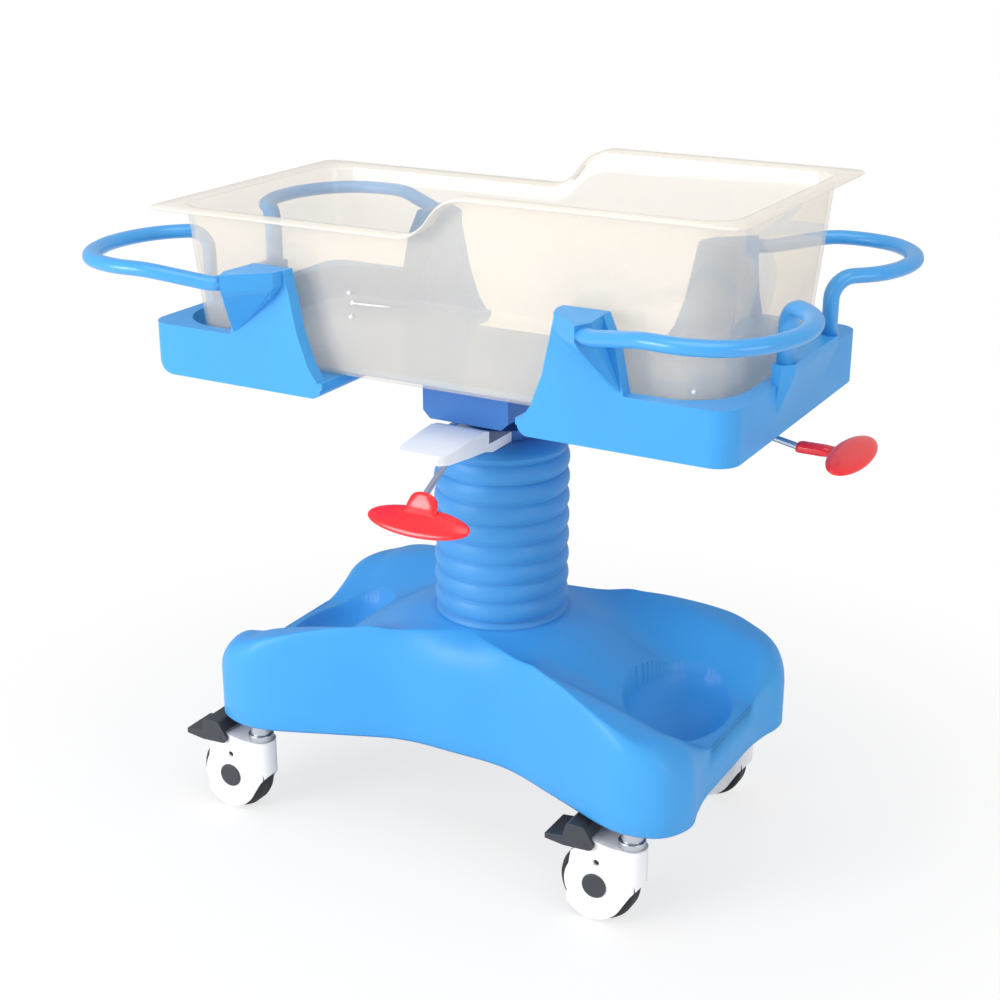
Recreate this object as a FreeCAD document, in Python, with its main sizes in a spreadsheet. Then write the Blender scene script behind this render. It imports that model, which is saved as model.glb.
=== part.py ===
"""Hospital bassinet: clear tub in a tilting cradle, on a gas-spring column and a base with four casters.

Millimetres, +Z up, X along the tub, origin on the floor under the middle of the column.
"""
import FreeCAD
import Part
import Sketcher
import math
import os
from FreeCAD import Placement, Rotation, Vector

doc = FreeCAD.newDocument("bassinet")

# ------------------------------------------------------------------ driving dimensions

SIZES = {
    # casters
    "caster_x": 275, "caster_y": 171, "caster_trail": 40,
    "wheel_radius": 50, "wheel_width": 28, "tyre_depth": 13, "tyre_round": 6,
    "axle_radius": 6, "cap_radius": 16, "cap_height": 3, "axle_boss": 12,
    "hood_wall": 3.5, "hood_side_gap": 2, "hood_wheel_gap": 2.5, "hood_top": 58, "hood_bulge": 4,
    "pin_radius": 5, "pin_length": 20, "collar_radius": 17, "collar_height": 9,
    "race_radius": 14, "stud_radius": 6,
    "pedal_width": 50, "pedal_gap": 0.5, "pedal_pivot_x": 8, "trunnion_radius": 3,
    "running_clearance": 0.05, "face_gap": 0.4,
    # base
    "base_bottom": 137, "base_top": 299, "cover_wall": 5, "seat_radius": 91,
    "bowl_depth": 46, "bowl_length": 106, "bowl_width": 176, "bowl_x": 263,
    "frame_bottom": 140, "frame_thickness": 22, "arm_width": 40, "hub_radius": 88,
    "boss_radius": 10, "boss_share": 0.61, "screw_radius": 3, "screw_head": 7,
    # column and lift
    "column_radius": 50, "column_wall": 4, "column_top": 470, "flange_radius": 80, "flange_thickness": 10,
    "bolt_radius": 4, "bolt_circle": 66, "lift_down": 60, "lift_up": 140,
    "inner_wall": 4, "inner_bottom": 240, "spring_radius": 14, "spring_top": 430,
    "rod_radius": 5, "rod_bottom": 270,
    "bellows_radius": 87, "bellows_depth": 4, "bellows_wall": 4, "bellows_top": 541,
    # tilting head
    "pivot_height": 592, "pivot_pin_radius": 8, "neck_radius": 52, "neck_bottom": 533,
    "head_top": 554, "head_thickness": 8, "yoke_half_width": 40, "ear_thickness": 8, "ear_radius": 18,
    "housing_half_width": 36, "housing_back": 96, "housing_reach": 198, "housing_top": 573,
    "skirt_half_length": 60, "skirt_half_width": 92, "skirt_bottom": 572, "skirt_wall": 4,
    # cradle
    "tray_bottom": 613, "plate_bottom": 625, "tub_seat": 633, "tray_half_length": 390,
    "tray_half_width": 204, "tray_wall": 18, "tray_corner": 28, "bucket_corner": 70,
    "window_sill": 677, "wing_top": 764,
    # handles
    "handle_radius": 11.5, "handle_height": 767, "handle_dip": 14.5, "handle_reach_x": 466, "handle_reach_y": 300,
    "post_x": 396, "post_y": 70, "post_foot": 700,
    # tub
    "tub_top": 870, "tub_step": 50, "tub_half_length": 368, "tub_half_width": 177,
    "tub_draft_x": 22, "tub_draft_y": 10, "tub_wall": 4, "tub_corner": 40, "flange_width": 21, "flange_corner": 18,
    "step_start": 30, "step_end": 60, "seat_gap": 0.3,
    # levers
    "lever_rod_radius": 4, "lever_pin_radius": 3, "lever_eye_radius": 8, "lever_eye_width": 10,
    "paddle_length": 141, "paddle_width": 43, "paddle_height": 12, "paddle_round": 4,
    "height_pivot_y": 105, "height_pivot_z": 553,
    "tilt_pivot_x": 290, "tilt_pivot_z": 602,
}

sheet = doc.addObject("Spreadsheet::Sheet", "dims")
for row, (alias, value) in enumerate(SIZES.items(), 1):
    sheet.set("A%d" % row, alias)
    sheet.set("B%d" % row, str(value))
    sheet.setAlias("B%d" % row, alias)
doc.recompute()


def size(terms):
    """Value of cells and numbers that are added and taken away, such as "wheel_radius - tyre_depth"."""
    total = 0.0
    sign = 1
    for word in terms.split():
        if word in ("+", "-"):
            sign = 1 if word == "+" else -1
        else:
            total += sign * float(sheet.get(word) if word[0].isalpha() else word)
    return total


def formula(terms):
    """The same terms as an expression on the sheet."""
    return " ".join("dims." + word if word[0].isalpha() else word for word in terms.split())


# ------------------------------------------------------------------ making bodies

PARTS = []
CORNERS = [(1, -1), (1, 1), (-1, -1), (-1, 1)]


def keep(piece, label, base=(0, 0, 0), rotation=Rotation()):
    """Give a finished piece its label and place, and list it for writing."""
    piece.Label = label
    piece.Placement = Placement(Vector(*base), rotation)
    PARTS.append(piece)
    return piece


def body(label, base=(0, 0, 0), rotation=Rotation()):
    return keep(doc.addObject("PartDesign::Body", label), label, base, rotation)


def origin_item(piece, role):
    return next(item for item in piece.Origin.OriginFeatures if item.Role == role)


def circle(x, y, terms):
    return ("circle", x, y, terms)


def polar(radius, degrees, x=0, y=0):
    angle = math.radians(degrees)
    return (x + radius * math.cos(angle), y + radius * math.sin(angle))


def arc_to(centre, radius, middle, end):
    """Outline item: an arc about a centre, through the angle middle, to the angle end."""
    return polar(radius, middle, *centre) + polar(radius, end, *centre)


def sketch(piece, plane, loops, offset=Placement()):
    """Sketch of closed loops. A loop is a circle or a list of points; an item of four numbers is an arc."""
    made = piece.newObject("Sketcher::SketchObject", "Sketch")
    made.AttachmentSupport = [(origin_item(piece, plane), "")]
    made.MapMode = "FlatFace"
    made.AttachmentOffset = offset
    for loop in loops:
        if loop[0] == "circle":
            ring = Part.Circle(Vector(loop[1], loop[2], 0), Vector(0, 0, 1), size(loop[3]))
            index = made.addGeometry(ring, False)
            radius = made.addConstraint(Sketcher.Constraint("Radius", index, size(loop[3])))
            made.setExpression("Constraints[%d]" % radius, formula(loop[3]))
            continue
        for start, item in zip(loop, loop[1:] + loop[:1]):
            first = Vector(start[-2], start[-1], 0)
            last = Vector(item[-2], item[-1], 0)
            if len(item) == 4:
                made.addGeometry(Part.Arc(first, Vector(item[0], item[1], 0), last), False)
            elif first.distanceToPoint(last) > 1e-6:
                made.addGeometry(Part.LineSegment(first, last), False)
    return made


def raised(z):
    """Offset that lifts a sketch above its plane."""
    return Placement(Vector(0, 0, z), Rotation())


def extrude(piece, kind, drawing, terms, symmetric):
    made = piece.newObject("PartDesign::" + kind, kind)
    made.Profile = drawing
    made.Length = size(terms)
    made.setExpression("Length", formula(terms))
    made.SideType = "Symmetric" if symmetric else "One side"
    drawing.Visibility = False
    return made


def pad(piece, drawing, terms, symmetric=False):
    return extrude(piece, "Pad", drawing, terms, symmetric)


def cut(piece, drawing, terms, symmetric=True):
    return extrude(piece, "Pocket", drawing, terms, symmetric)


def revolve(piece, drawing, axis):
    made = piece.newObject("PartDesign::Revolution", "Revolution")
    made.Profile = drawing
    made.ReferenceAxis = (origin_item(piece, axis), [""])
    made.Angle = 360
    return made


def loft(piece, kind, drawings):
    made = piece.newObject("PartDesign::" + kind, kind)
    made.Profile = drawings[0]
    made.Sections = drawings[1:]
    made.Ruled = True
    return made


def rectangle(half_x, half_y):
    return [(-half_x, -half_y), (half_x, -half_y), (half_x, half_y), (-half_x, half_y)]


def rounded(half_x, half_y, radius):
    """Rectangle with four round corners."""
    x = half_x - radius
    y = half_y - radius
    return [(-x, -half_y), (x, -half_y), arc_to((x, -y), radius, -45, 0),
            (half_x, y), arc_to((x, y), radius, 45, 90),
            (-x, half_y), arc_to((-x, y), radius, 135, 180),
            (-half_x, -y), arc_to((-x, -y), radius, 225, 270)]


def rectangle_at(x0, x1, y0, y1):
    return [(x0, y0), (x1, y0), (x1, y1), (x0, y1)]


def mix(a, b, share):
    return a + (b - a) * share


def ramp(position, table):
    """Straight-line reading of a short table of (position, value)."""
    if position <= table[0][0]:
        return table[0][1]
    for (p0, v0), (p1, v1) in zip(table, table[1:]):
        if position <= p1:
            return mix(v0, v1, (position - p0) / (p1 - p0))
    return table[-1][1]


# ------------------------------------------------------------------ casters

HOOD_INNER = "wheel_width + hood_side_gap + hood_side_gap"
HOOD_OUTER = HOOD_INNER + " + hood_wall + hood_wall"


def hood(label, base):
    """Moulded hood: two side plates, a roof over the tread and a solid heel round the swivel pin."""
    piece = body(label, base)
    rim = size("wheel_radius")
    half = size(HOOD_OUTER) / 2
    trail = size("caster_trail")
    back = trail + half
    top = size("hood_top")
    outline = [polar(rim + 1, 130), polar(rim - 9, 150), arc_to((0, 0), rim - 9, 178, 205),
               polar(rim - 1, 220), arc_to((0, 0), rim - 1, 241, 262), polar(rim - 3, 276),
               polar(rim - 6, 305) + polar(rim - 8, 329), (trail + 7, -3), (back, 12),
               (back, top), (trail - half, top), (-10, top + size("hood_bulge"))]
    pad(piece, sketch(piece, "XZ_Plane", [outline]), HOOD_OUTER, True)
    heel = [(trail, half), (trail, half + 1), (back + 1, half + 1), (back + 1, -half - 1),
            (trail, -half - 1), (trail, -half), arc_to((trail, 0), half, 0, 90)]
    cut(piece, sketch(piece, "XY_Plane", [heel]), "wheel_radius + wheel_radius + hood_top + hood_top")
    cut(piece, sketch(piece, "XZ_Plane", [circle(0, 0, "wheel_radius + hood_wheel_gap")]), HOOD_INNER)
    cut(piece, sketch(piece, "XZ_Plane", [circle(0, 0, "axle_radius")]), "pedal_width + pedal_width")
    recess = sketch(piece, "XZ_Plane", [circle(1.7, rim - 18, "axle_radius - 1.8")])
    cut(piece, recess, "pedal_width + pedal_width")
    bore = sketch(piece, "XY_Plane", [circle(trail, 0, "pin_radius + running_clearance")], raised(top))
    cut(piece, bore, "pin_length + pin_length + face_gap")
    pivot = circle(-size("pedal_pivot_x"), rim + 7, "trunnion_radius")
    pad(piece, sketch(piece, "XZ_Plane", [pivot]), "pedal_width - 1", True)
    return piece


def axle(label, base):
    """Axle with a cap against each side plate of the hood."""
    piece = body(label, base)
    half = size(HOOD_OUTER) / 2
    end = half + size("cap_height")
    shaft = size("axle_radius")
    cap = size("cap_radius")
    side = [(cap, half), (cap, end - 1), (cap - 1, end), (0, end)]
    outline = [(x, -y) for x, y in reversed(side)] + [(shaft, -half), (shaft, half)] + side
    revolve(piece, sketch(piece, "XY_Plane", [outline]), "Y_Axis")
    return piece


def tyre(label, base):
    piece = body(label, base)
    tread = size("wheel_radius")
    seat = size("wheel_radius - tyre_depth")
    half = size("wheel_width") / 2
    soft = size("tyre_round")
    outline = [(seat, -half), (tread - soft, -half), arc_to((tread - soft, soft - half), soft, -45, 0),
               (tread, half - soft), arc_to((tread - soft, half - soft), soft, 45, 90), (seat, half)]
    revolve(piece, sketch(piece, "XY_Plane", [outline]), "Y_Axis")
    return piece


def wheel_hub(label, base):
    """Hub with a rim under the tyre, a thinner web and a boss on the axle."""
    piece = body(label, base)
    rim = size("wheel_radius - tyre_depth")
    bore = size("axle_radius + running_clearance")
    half = size("wheel_width") / 2
    boss = size("axle_boss")
    side = [(boss, half + 1.4), (boss, half - 8), (rim - 4, half - 8), (rim - 4, half - 1), (rim, half - 1)]
    outline = [(bore, -half - 1.4)] + [(x, -y) for x, y in side] + side[::-1] + [(bore, half + 1.4)]
    revolve(piece, sketch(piece, "XY_Plane", [outline]), "Y_Axis")
    return piece


def pedal(label, base):
    """Brake pedal: a stepped tread that straddles the hood and turns on its two trunnions."""
    piece = body(label, base)
    x = -size("pedal_pivot_x")
    z = size("wheel_radius") + 7
    outline = [(x - 58, z - 7), (x - 58, z), (x - 34, z + 3), (x - 30, z + 19), (x - 26, z + 22),
               (x - 8, z + 22), (x - 4, z + 20), (x + 7.8, z + 2), arc_to((x, z), 8, -45, -90),
               (x - 32, z - 10)]
    pad(piece, sketch(piece, "XZ_Plane", [outline]), "pedal_width", True)
    straddle = [(x - 31, z - 20), (x - 31, z - 10), (x - 30, z - 8), (x - 3, z + 8), (x + 20, z + 8),
                (x + 20, z - 20)]
    cut(piece, sketch(piece, "XZ_Plane", [straddle]), HOOD_OUTER + " + pedal_gap + pedal_gap")
    pivot = circle(x, z, "trunnion_radius + running_clearance")
    cut(piece, sketch(piece, "XZ_Plane", [pivot]), "pedal_width + pedal_width")
    return piece


def stem(label, base):
    """Swivel pin, collar, race and the stud that goes up into the base frame."""
    piece = body(label, base)
    foot = size("wheel_radius + hood_top + face_gap")
    race = foot + size("collar_height")
    frame = size("frame_bottom")
    pin = size("pin_radius")
    outline = [(0, foot - size("pin_length")), (pin, foot - size("pin_length")), (pin, foot),
               (size("collar_radius"), foot), (size("collar_radius"), race - 1),
               (size("collar_radius") - 1, race), (size("race_radius"), race),
               (size("race_radius"), frame), (size("stud_radius"), frame),
               (size("stud_radius"), frame + size("frame_thickness")),
               (0, frame + size("frame_thickness"))]
    revolve(piece, sketch(piece, "XZ_Plane", [outline]), "Z_Axis")
    return piece


def caster(number, side_x, side_y):
    swivel = (side_x * size("caster_x"), side_y * size("caster_y"))
    centre = (swivel[0] - size("caster_trail"), swivel[1], size("wheel_radius"))
    hood("caster_hood_%d" % number, centre)
    axle("caster_axle_%d" % number, centre)
    tyre("caster_tyre_%d" % number, centre)
    wheel_hub("caster_wheel_%d" % number, centre)
    pedal("brake_pedal_%d" % number, centre)
    stem("caster_stem_%d" % number, swivel + (0,))


for number, (side_x, side_y) in enumerate(CORNERS, 1):
    caster(number, side_x, side_y)

# ------------------------------------------------------------------ base frame and column

SCREW_SPOTS = [(x * size("caster_x") * size("boss_share"), y * size("caster_y") * size("boss_share"))
               for x, y in CORNERS]
STUD_SPOTS = [(x * size("caster_x"), y * size("caster_y")) for x, y in CORNERS]
BOLT_SPOTS = [polar(size("bolt_circle"), 30 + 60 * turn) for turn in range(6)]
FRAME_TOP = "frame_bottom + frame_thickness"


def base_frame():
    """Welded cross under the cover: a round hub and four arms that end over the casters."""
    piece = body("base_frame")
    floor = raised(size("frame_bottom"))
    pad(piece, sketch(piece, "XY_Plane", [circle(0, 0, "hub_radius")], floor), "frame_thickness")
    half = size("arm_width") / 2
    length = math.hypot(size("caster_x"), size("caster_y"))
    slope = math.degrees(math.atan2(size("caster_y"), size("caster_x")))
    arm = [(-length, -half), (length, -half), arc_to((length, 0), half, 0, 90),
           (-length, half), arc_to((-length, 0), half, 180, 270)]
    for turn in (slope, -slope):
        place = Placement(Vector(0, 0, size("frame_bottom")), Rotation(Vector(0, 0, 1), turn))
        pad(piece, sketch(piece, "XY_Plane", [arm], place), "frame_thickness")
    holes = [circle(x, y, "stud_radius") for x, y in STUD_SPOTS]
    holes += [circle(x, y, "screw_radius") for x, y in SCREW_SPOTS]
    holes += [circle(x, y, "bolt_radius") for x, y in BOLT_SPOTS]
    cut(piece, sketch(piece, "XY_Plane", holes, floor), "frame_thickness + frame_thickness + 2")
    return piece


def column_tube():
    """Fixed outer tube of the column with its bolted flange."""
    piece = body("column_tube")
    outer = size("column_radius")
    inner = size("column_radius - column_wall")
    foot = size(FRAME_TOP)
    ledge = foot + size("flange_thickness")
    outline = [(inner, foot), (size("flange_radius"), foot), (size("flange_radius"), ledge),
               (outer, ledge), (outer, size("column_top")), (inner, size("column_top"))]
    revolve(piece, sketch(piece, "XZ_Plane", [outline]), "Z_Axis")
    holes = [circle(x, y, "bolt_radius") for x, y in BOLT_SPOTS]
    cut(piece, sketch(piece, "XY_Plane", holes, raised(foot)), "flange_thickness + flange_thickness + 2")
    return piece


def column_bolts():
    """Six hexagon bolts through the flange into the frame."""
    piece = body("column_bolts")
    seat = size(FRAME_TOP + " + flange_thickness")
    shanks = [circle(x, y, "bolt_radius") for x, y in BOLT_SPOTS]
    lowest = size("frame_bottom")
    pad(piece, sketch(piece, "XY_Plane", shanks, raised(lowest)), "frame_thickness + flange_thickness")
    heads = [[polar(7, 60 * corner, x, y) for corner in range(6)] for x, y in BOLT_SPOTS]
    pad(piece, sketch(piece, "XY_Plane", heads, raised(seat)), "bolt_radius + 1")
    return piece


def cover_screws():
    """Four screws that hold the cover's bosses down on the frame."""
    piece = body("cover_screws")
    bottom = size("frame_bottom")
    heads = [circle(x, y, "screw_head") for x, y in SCREW_SPOTS]
    pad(piece, sketch(piece, "XY_Plane", heads, raised(bottom - 2.5)), "2.5")
    shanks = [circle(x, y, "screw_radius") for x, y in SCREW_SPOTS]
    pad(piece, sketch(piece, "XY_Plane", shanks, raised(bottom)), "frame_thickness + boss_radius")
    return piece


def gas_spring():
    """Gas spring in the column: the cylinder stands on the frame and the rod hangs from the head."""
    cylinder = body("gas_spring_cylinder")
    bore = size("rod_radius + running_clearance")
    foot = size(FRAME_TOP)
    depth = size("rod_bottom - lift_down - 20")
    outline = [(0, foot), (size("spring_radius"), foot), (size("spring_radius"), size("spring_top")),
               (bore, size("spring_top")), (bore, depth), (0, depth)]
    revolve(cylinder, sketch(cylinder, "XZ_Plane", [outline]), "Z_Axis")
    rod = body("gas_spring_rod")
    low = raised(size("rod_bottom"))
    pad(rod, sketch(rod, "XY_Plane", [circle(0, 0, "rod_radius")], low),
        "head_top - head_thickness - rod_bottom")


base_frame()
column_tube()
column_bolts()
cover_screws()
gas_spring()

# ------------------------------------------------------------------ base cover

# Right half of the plan, from the middle of the end to the middle of the side.
PLAN_QUARTER = [(329, 0), (329, 70), (334, 112), (341, 150), (322, 186), (285, 200),
                (245, 195), (165, 163), (80, 131), (0, 127)]
CREST = [(91, 299), (120, 300), (140, 294), (200, 281), (240, 271), (260, 265), (285, 256), (342, 248)]
VALLEY = [(91, 299), (150, 289), (200, 272), (231, 254), (250, 231), (275, 213), (317, 206), (342, 203)]
WALL_TOP = [(0, 243), (150, 239), (230, 234), (290, 226), (322, 210), (341, 194)]
VALLEY_INNER = 60
VALLEY_OUTER = 175
SHOULDER = 0.7
SHARES = (0, 0.01, 0.04, 0.1, 0.18, 0.28, 0.38, 0.48, 0.58, 0.68, 0.78, 0.88, 1)
PLAN_FACETS = 72


def plan_loop():
    """The cover's plan, once round: a smooth curve through the corners, read at even steps."""
    quarter = PLAN_QUARTER
    half = quarter + [(-x, y) for x, y in quarter[-2::-1]]
    corners = half + [(x, -y) for x, y in half[-2:0:-1]]
    curve = Part.BSplineCurve()
    curve.interpolate(Points=[Vector(x, y, 0) for x, y in corners], PeriodicFlag=True)
    return curve.discretize(Number=PLAN_FACETS + 1)[:-1]


def crown(x, y):
    """Height of the cover before its edge is rounded: crests to the four lobes, valleys to the ends."""
    rise = min(max((abs(y) - VALLEY_INNER) / (VALLEY_OUTER - VALLEY_INNER), 0), 1)
    blend = rise * rise * (3 - 2 * rise)
    return mix(ramp(math.hypot(x, y), VALLEY), ramp(abs(x), CREST), blend)


def seat_point(index, count):
    """Where the rib from one point of the plan meets the column seat: evenly spaced round it."""
    return Vector(*polar(size("seat_radius"), 360 * index / count), 0)


def cover_section(share, inset, drop):
    """One closed row of points, share 0 at the plan's edge and share 1 at the column seat."""
    row = []
    plan = plan_loop()
    for index, edge in enumerate(plan):
        wall_top = ramp(abs(edge.x), WALL_TOP)
        rib = seat_point(index, len(plan)) - edge
        point = edge + rib * share
        top = crown(point.x, point.y)
        width = min(SHOULDER * (top - wall_top) + 4, rib.Length)
        inner = 1 - min(rib.Length * share / width, 1)
        point.z = wall_top + (top - wall_top) * math.sqrt(1 - inner * inner) - drop
        shrink = 1 - inset / math.hypot(point.x, point.y)
        row.append(Vector(point.x * shrink, point.y * shrink, point.z))
    return row


def at_height(row, z):
    return [Vector(point.x, point.y, z) for point in row]


def ring(row):
    return Part.makePolygon(row + row[:1])


def bowl(side, extra):
    """Ellipsoid that hollows one end of the cover, tipped like the valley it sinks into."""
    tool = Part.makeSphere(1)
    shape = FreeCAD.Matrix()
    shape.scale(size("bowl_length") / 2 + extra, size("bowl_width") / 2 + extra,
                size("bowl_depth") + extra)
    tool = tool.transformGeometry(shape)
    tool.rotate(Vector(0, 0, 0), Vector(0, 1, 0), side * 6)
    tool.translate(Vector(side * size("bowl_x"), 0, crown(size("bowl_x"), 0) + 4))
    return tool


def base_cover():
    """Moulded cover: four lobes over the casters, a valley and a bowl at each end, open underneath."""
    wall = size("cover_wall")
    bottom = size("base_bottom")
    rows = [at_height(cover_section(0, 0, 0), bottom)]
    rows += [cover_section(share, 0, 0) for share in SHARES]
    outer = Part.makeLoft([ring(row) for row in rows], True, True)
    rows = [at_height(cover_section(0, wall + 1, 0), bottom - 1)]
    rows += [cover_section(share, wall + 1, (wall + 1) * (1 + share)) for share in SHARES]
    void = Part.makeLoft([ring(row) for row in rows], True, True)
    floor = size(FRAME_TOP)
    for x, y in SCREW_SPOTS:
        void = void.cut(Part.makeCylinder(size("boss_radius"), size("base_top"), Vector(x, y, floor)))
    for side in (1, -1):
        void = void.cut(bowl(side, wall))
    shape = outer.cut(void)
    for side in (1, -1):
        shape = shape.cut(bowl(side, 0))
    hole = size("column_radius") + wall
    shape = shape.cut(Part.makeCylinder(hole, size("base_top") * 2))
    for x, y in SCREW_SPOTS:
        pilot = Part.makeCylinder(size("screw_radius"), size("boss_radius"), Vector(x, y, floor))
        shape = shape.cut(pilot)
    piece = doc.addObject("Part::Feature", "base_cover")
    piece.Shape = shape
    return keep(piece, "base_cover")


base_cover()

# ------------------------------------------------------------------ bellows and lifting head

BELLOWS_RIBS = 8
BELLOWS_DOME = 22


def bellows():
    """Rubber gaiter: shallow ribs round the column and a dome that closes on the neck."""
    piece = body("bellows")
    low = size("base_top")
    high = size("bellows_top")
    outer = size("bellows_radius")
    groove = size("bellows_radius - bellows_depth")
    inner = size("bellows_radius - bellows_depth - bellows_wall")
    neck = size("neck_radius") + 0.5
    first = low + 7
    dome = high - BELLOWS_DOME
    pitch = (dome - first) / BELLOWS_RIBS
    outline = [(inner, low), (outer, low), (outer, first - 1.5), (groove, first)]
    for rib in range(BELLOWS_RIBS):
        z = first + rib * pitch
        outline += [(outer, z + pitch * 0.24), (outer, z + pitch * 0.76), (groove, z + pitch)]
    outline += [(outer - 3, dome + 5), (outer - 12, high - 6), (neck + 8, high - 1), (neck + 3, high),
                (neck, high), (neck, high - 5), (inner - 12, high - 12), (inner, dome - 2)]
    revolve(piece, sketch(piece, "XZ_Plane", [outline]), "Z_Axis")
    return piece


def inner_tube():
    """Lifting tube that slides in the column."""
    piece = body("lift_tube")
    outer = size("column_radius - column_wall - running_clearance")
    inner = outer - size("inner_wall")
    low = size("inner_bottom")
    high = size("head_top - head_thickness")
    outline = [(inner, low), (outer, low), (outer, high), (inner, high)]
    revolve(piece, sketch(piece, "XZ_Plane", [outline]), "Z_Axis")
    return piece


def lift_head():
    """Cap on the lifting tube with a neck and the two ears that carry the tilt pin."""
    piece = body("lift_head")
    neck = size("neck_radius")
    tube = size("column_radius - column_wall - running_clearance")
    top = size("head_top")
    under = size("head_top - head_thickness")
    outline = [(0, under), (tube, under), (tube, size("neck_bottom")), (neck, size("neck_bottom")),
               (neck, top), (0, top)]
    revolve(piece, sketch(piece, "XZ_Plane", [outline]), "Z_Axis")
    pivot = size("pivot_height")
    ear = size("ear_radius")
    ears = [(-ear, top - 1), (ear, top - 1), (ear, pivot), arc_to((0, pivot), ear, 90, 180)]
    pad(piece, sketch(piece, "XZ_Plane", [ears]), "yoke_half_width + yoke_half_width", True)
    between = [(-ear - 1, top), (ear + 1, top), (ear + 1, pivot + ear + 1), (-ear - 1, pivot + ear + 1)]
    cut(piece, sketch(piece, "XZ_Plane", [between]),
        "yoke_half_width + yoke_half_width - ear_thickness - ear_thickness")
    cut(piece, sketch(piece, "XZ_Plane", [circle(0, pivot, "pivot_pin_radius")]),
        "yoke_half_width + yoke_half_width + 2")
    return piece


def tilt_pin():
    """Pin through both ears and the cradle's pivot block."""
    piece = body("tilt_pin")
    drawing = sketch(piece, "XZ_Plane", [circle(0, size("pivot_height"), "pivot_pin_radius")])
    pad(piece, drawing, "yoke_half_width + yoke_half_width + 6", True)
    return piece



def lever_housing():
    """Wedge-shaped housing on the neck; the height lever swings in a slot in its underside."""
    piece = body("lever_housing")
    back = size("housing_back")
    reach = size("housing_reach")
    top = size("housing_top")
    floor = size("bellows_top + seat_gap")
    ledge = size("head_top")
    side = [(-40, floor), (-back + 8, floor), (-back - 8, floor + 5), (-reach + 1, top - 18),
            (-reach - 3, top - 11), (-reach + 1, top - 7), (-back - 16, top), (-back, top - 3),
            (-back, ledge), (-40, ledge)]
    pad(piece, sketch(piece, "YZ_Plane", [side]), "housing_half_width + housing_half_width", True)
    taper = [(size("housing_half_width"), -reach + 60), (size("housing_half_width") + 1, -reach - 9),
             (20, -reach - 9), (size("housing_half_width") - 7, -reach + 3),
             (size("housing_half_width") - 2, -reach + 12)]
    corners = [taper, [(-x, y) for x, y in taper]]
    cut(piece, sketch(piece, "XY_Plane", corners), "housing_top + housing_top + 100")
    cut(piece, sketch(piece, "XY_Plane", [circle(0, 0, "neck_radius")]), "housing_top + housing_top + 100")
    y = -size("height_pivot_y")
    z = size("height_pivot_z")
    slot = [(y + 11, floor - 10), (y + 11, z + 11), (y - 14, z + 11), (-reach - 10, z - 9),
            (-reach - 10, floor - 30)]
    cut(piece, sketch(piece, "YZ_Plane", [slot]), "lever_eye_width + 2")
    cut(piece, sketch(piece, "YZ_Plane", [circle(y, z, "lever_pin_radius")]),
        "housing_half_width + housing_half_width - 12")
    return piece


bellows()
inner_tube()
lift_head()
tilt_pin()
lever_housing()

# ------------------------------------------------------------------ hand levers

# Each lever is drawn along +X from its pivot, with the pin along Y, and then turned to its heading.


def tipped(along, up, dip):
    """Offset of a drawing that stands across a rod which slopes down by dip degrees."""
    return Placement(Vector(0, up, along), Rotation(Vector(1, 0, 0), dip))


def lever_rod(label, pivot, turn, end):
    """Steel rod with an eye on the pivot pin."""
    piece = body(label, pivot, turn)
    dip = math.degrees(math.atan2(-end[1], end[0]))
    pad(piece, sketch(piece, "XZ_Plane", [circle(0, 0, "lever_eye_radius")]), "lever_eye_width", True)
    shaft = sketch(piece, "YZ_Plane", [circle(0, 0, "lever_rod_radius")], tipped(0, 0, dip))
    made = piece.newObject("PartDesign::Pad", "Pad")
    made.Profile = shaft
    made.Length = math.hypot(*end)
    pin_hole = circle(0, 0, "lever_pin_radius + running_clearance")
    cut(piece, sketch(piece, "XZ_Plane", [pin_hole]), "lever_eye_width + 2")
    return piece


def paddle(label, pivot, turn, end, grip, grip_dip, neck):
    """Oval grip with thinner edges and a neck, of two half widths, that takes the rod's end."""
    piece = body(label, pivot, turn)
    half = size("paddle_height") / 2
    place = Placement(Vector(grip[0], 0, grip[1]), Rotation(Vector(0, 1, 0), grip_dip))
    rings = []
    for height, trim in ((-half, 1), (-half / 3, 0), (half / 3, 0), (half, 1)):
        trim = trim * size("paddle_round")
        ring = piece.newObject("Sketcher::SketchObject", "Sketch")
        ring.AttachmentSupport = [(origin_item(piece, "XY_Plane"), "")]
        ring.MapMode = "FlatFace"
        ring.AttachmentOffset = place.multiply(raised(height))
        long_half = size("paddle_length") / 2 - trim
        short_half = size("paddle_width") / 2 - trim
        ring.addGeometry(Part.Ellipse(Vector(0, long_half, 0), Vector(short_half, 0, 0), Vector(0, 0, 0)), False)
        rings.append(ring)
    loft(piece, "AdditiveLoft", rings)
    dip = math.degrees(math.atan2(-end[1], end[0]))
    rod = size("lever_rod_radius")
    narrow = sketch(piece, "YZ_Plane", [rounded(neck[0], rod + 3, rod + 2)], tipped(end[0], end[1], dip))
    inside = (mix(grip[0], end[0], 0.3), mix(grip[1], end[1], 0.12))
    wide = sketch(piece, "YZ_Plane", [rounded(neck[1], half - 1, half - 2)],
                  tipped(inside[0], inside[1], dip))
    loft(piece, "AdditiveLoft", [narrow, wide])
    return piece


def lever_pin(label, pivot, turn, length):
    piece = body(label, pivot, turn)
    pad(piece, sketch(piece, "XZ_Plane", [circle(0, 0, "lever_pin_radius")]), length, True)
    return piece


HEIGHT_PIVOT = (0, -size("height_pivot_y"), size("height_pivot_z"))
TILT_PIVOT = (size("tilt_pivot_x"), 0, size("tilt_pivot_z"))
TOWARDS_NEAR_SIDE = Rotation(Vector(0, 0, 1), -90)
TOWARDS_END = Rotation()
HEIGHT_ROD_END = (81, -42)
HEIGHT_GRIP = (98, -71)
HEIGHT_NECK = (19, 24)
TILT_ROD_END = (100, -20)
TILT_GRIP = (166, -20)
TILT_NECK = (9.5, 11)

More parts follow.
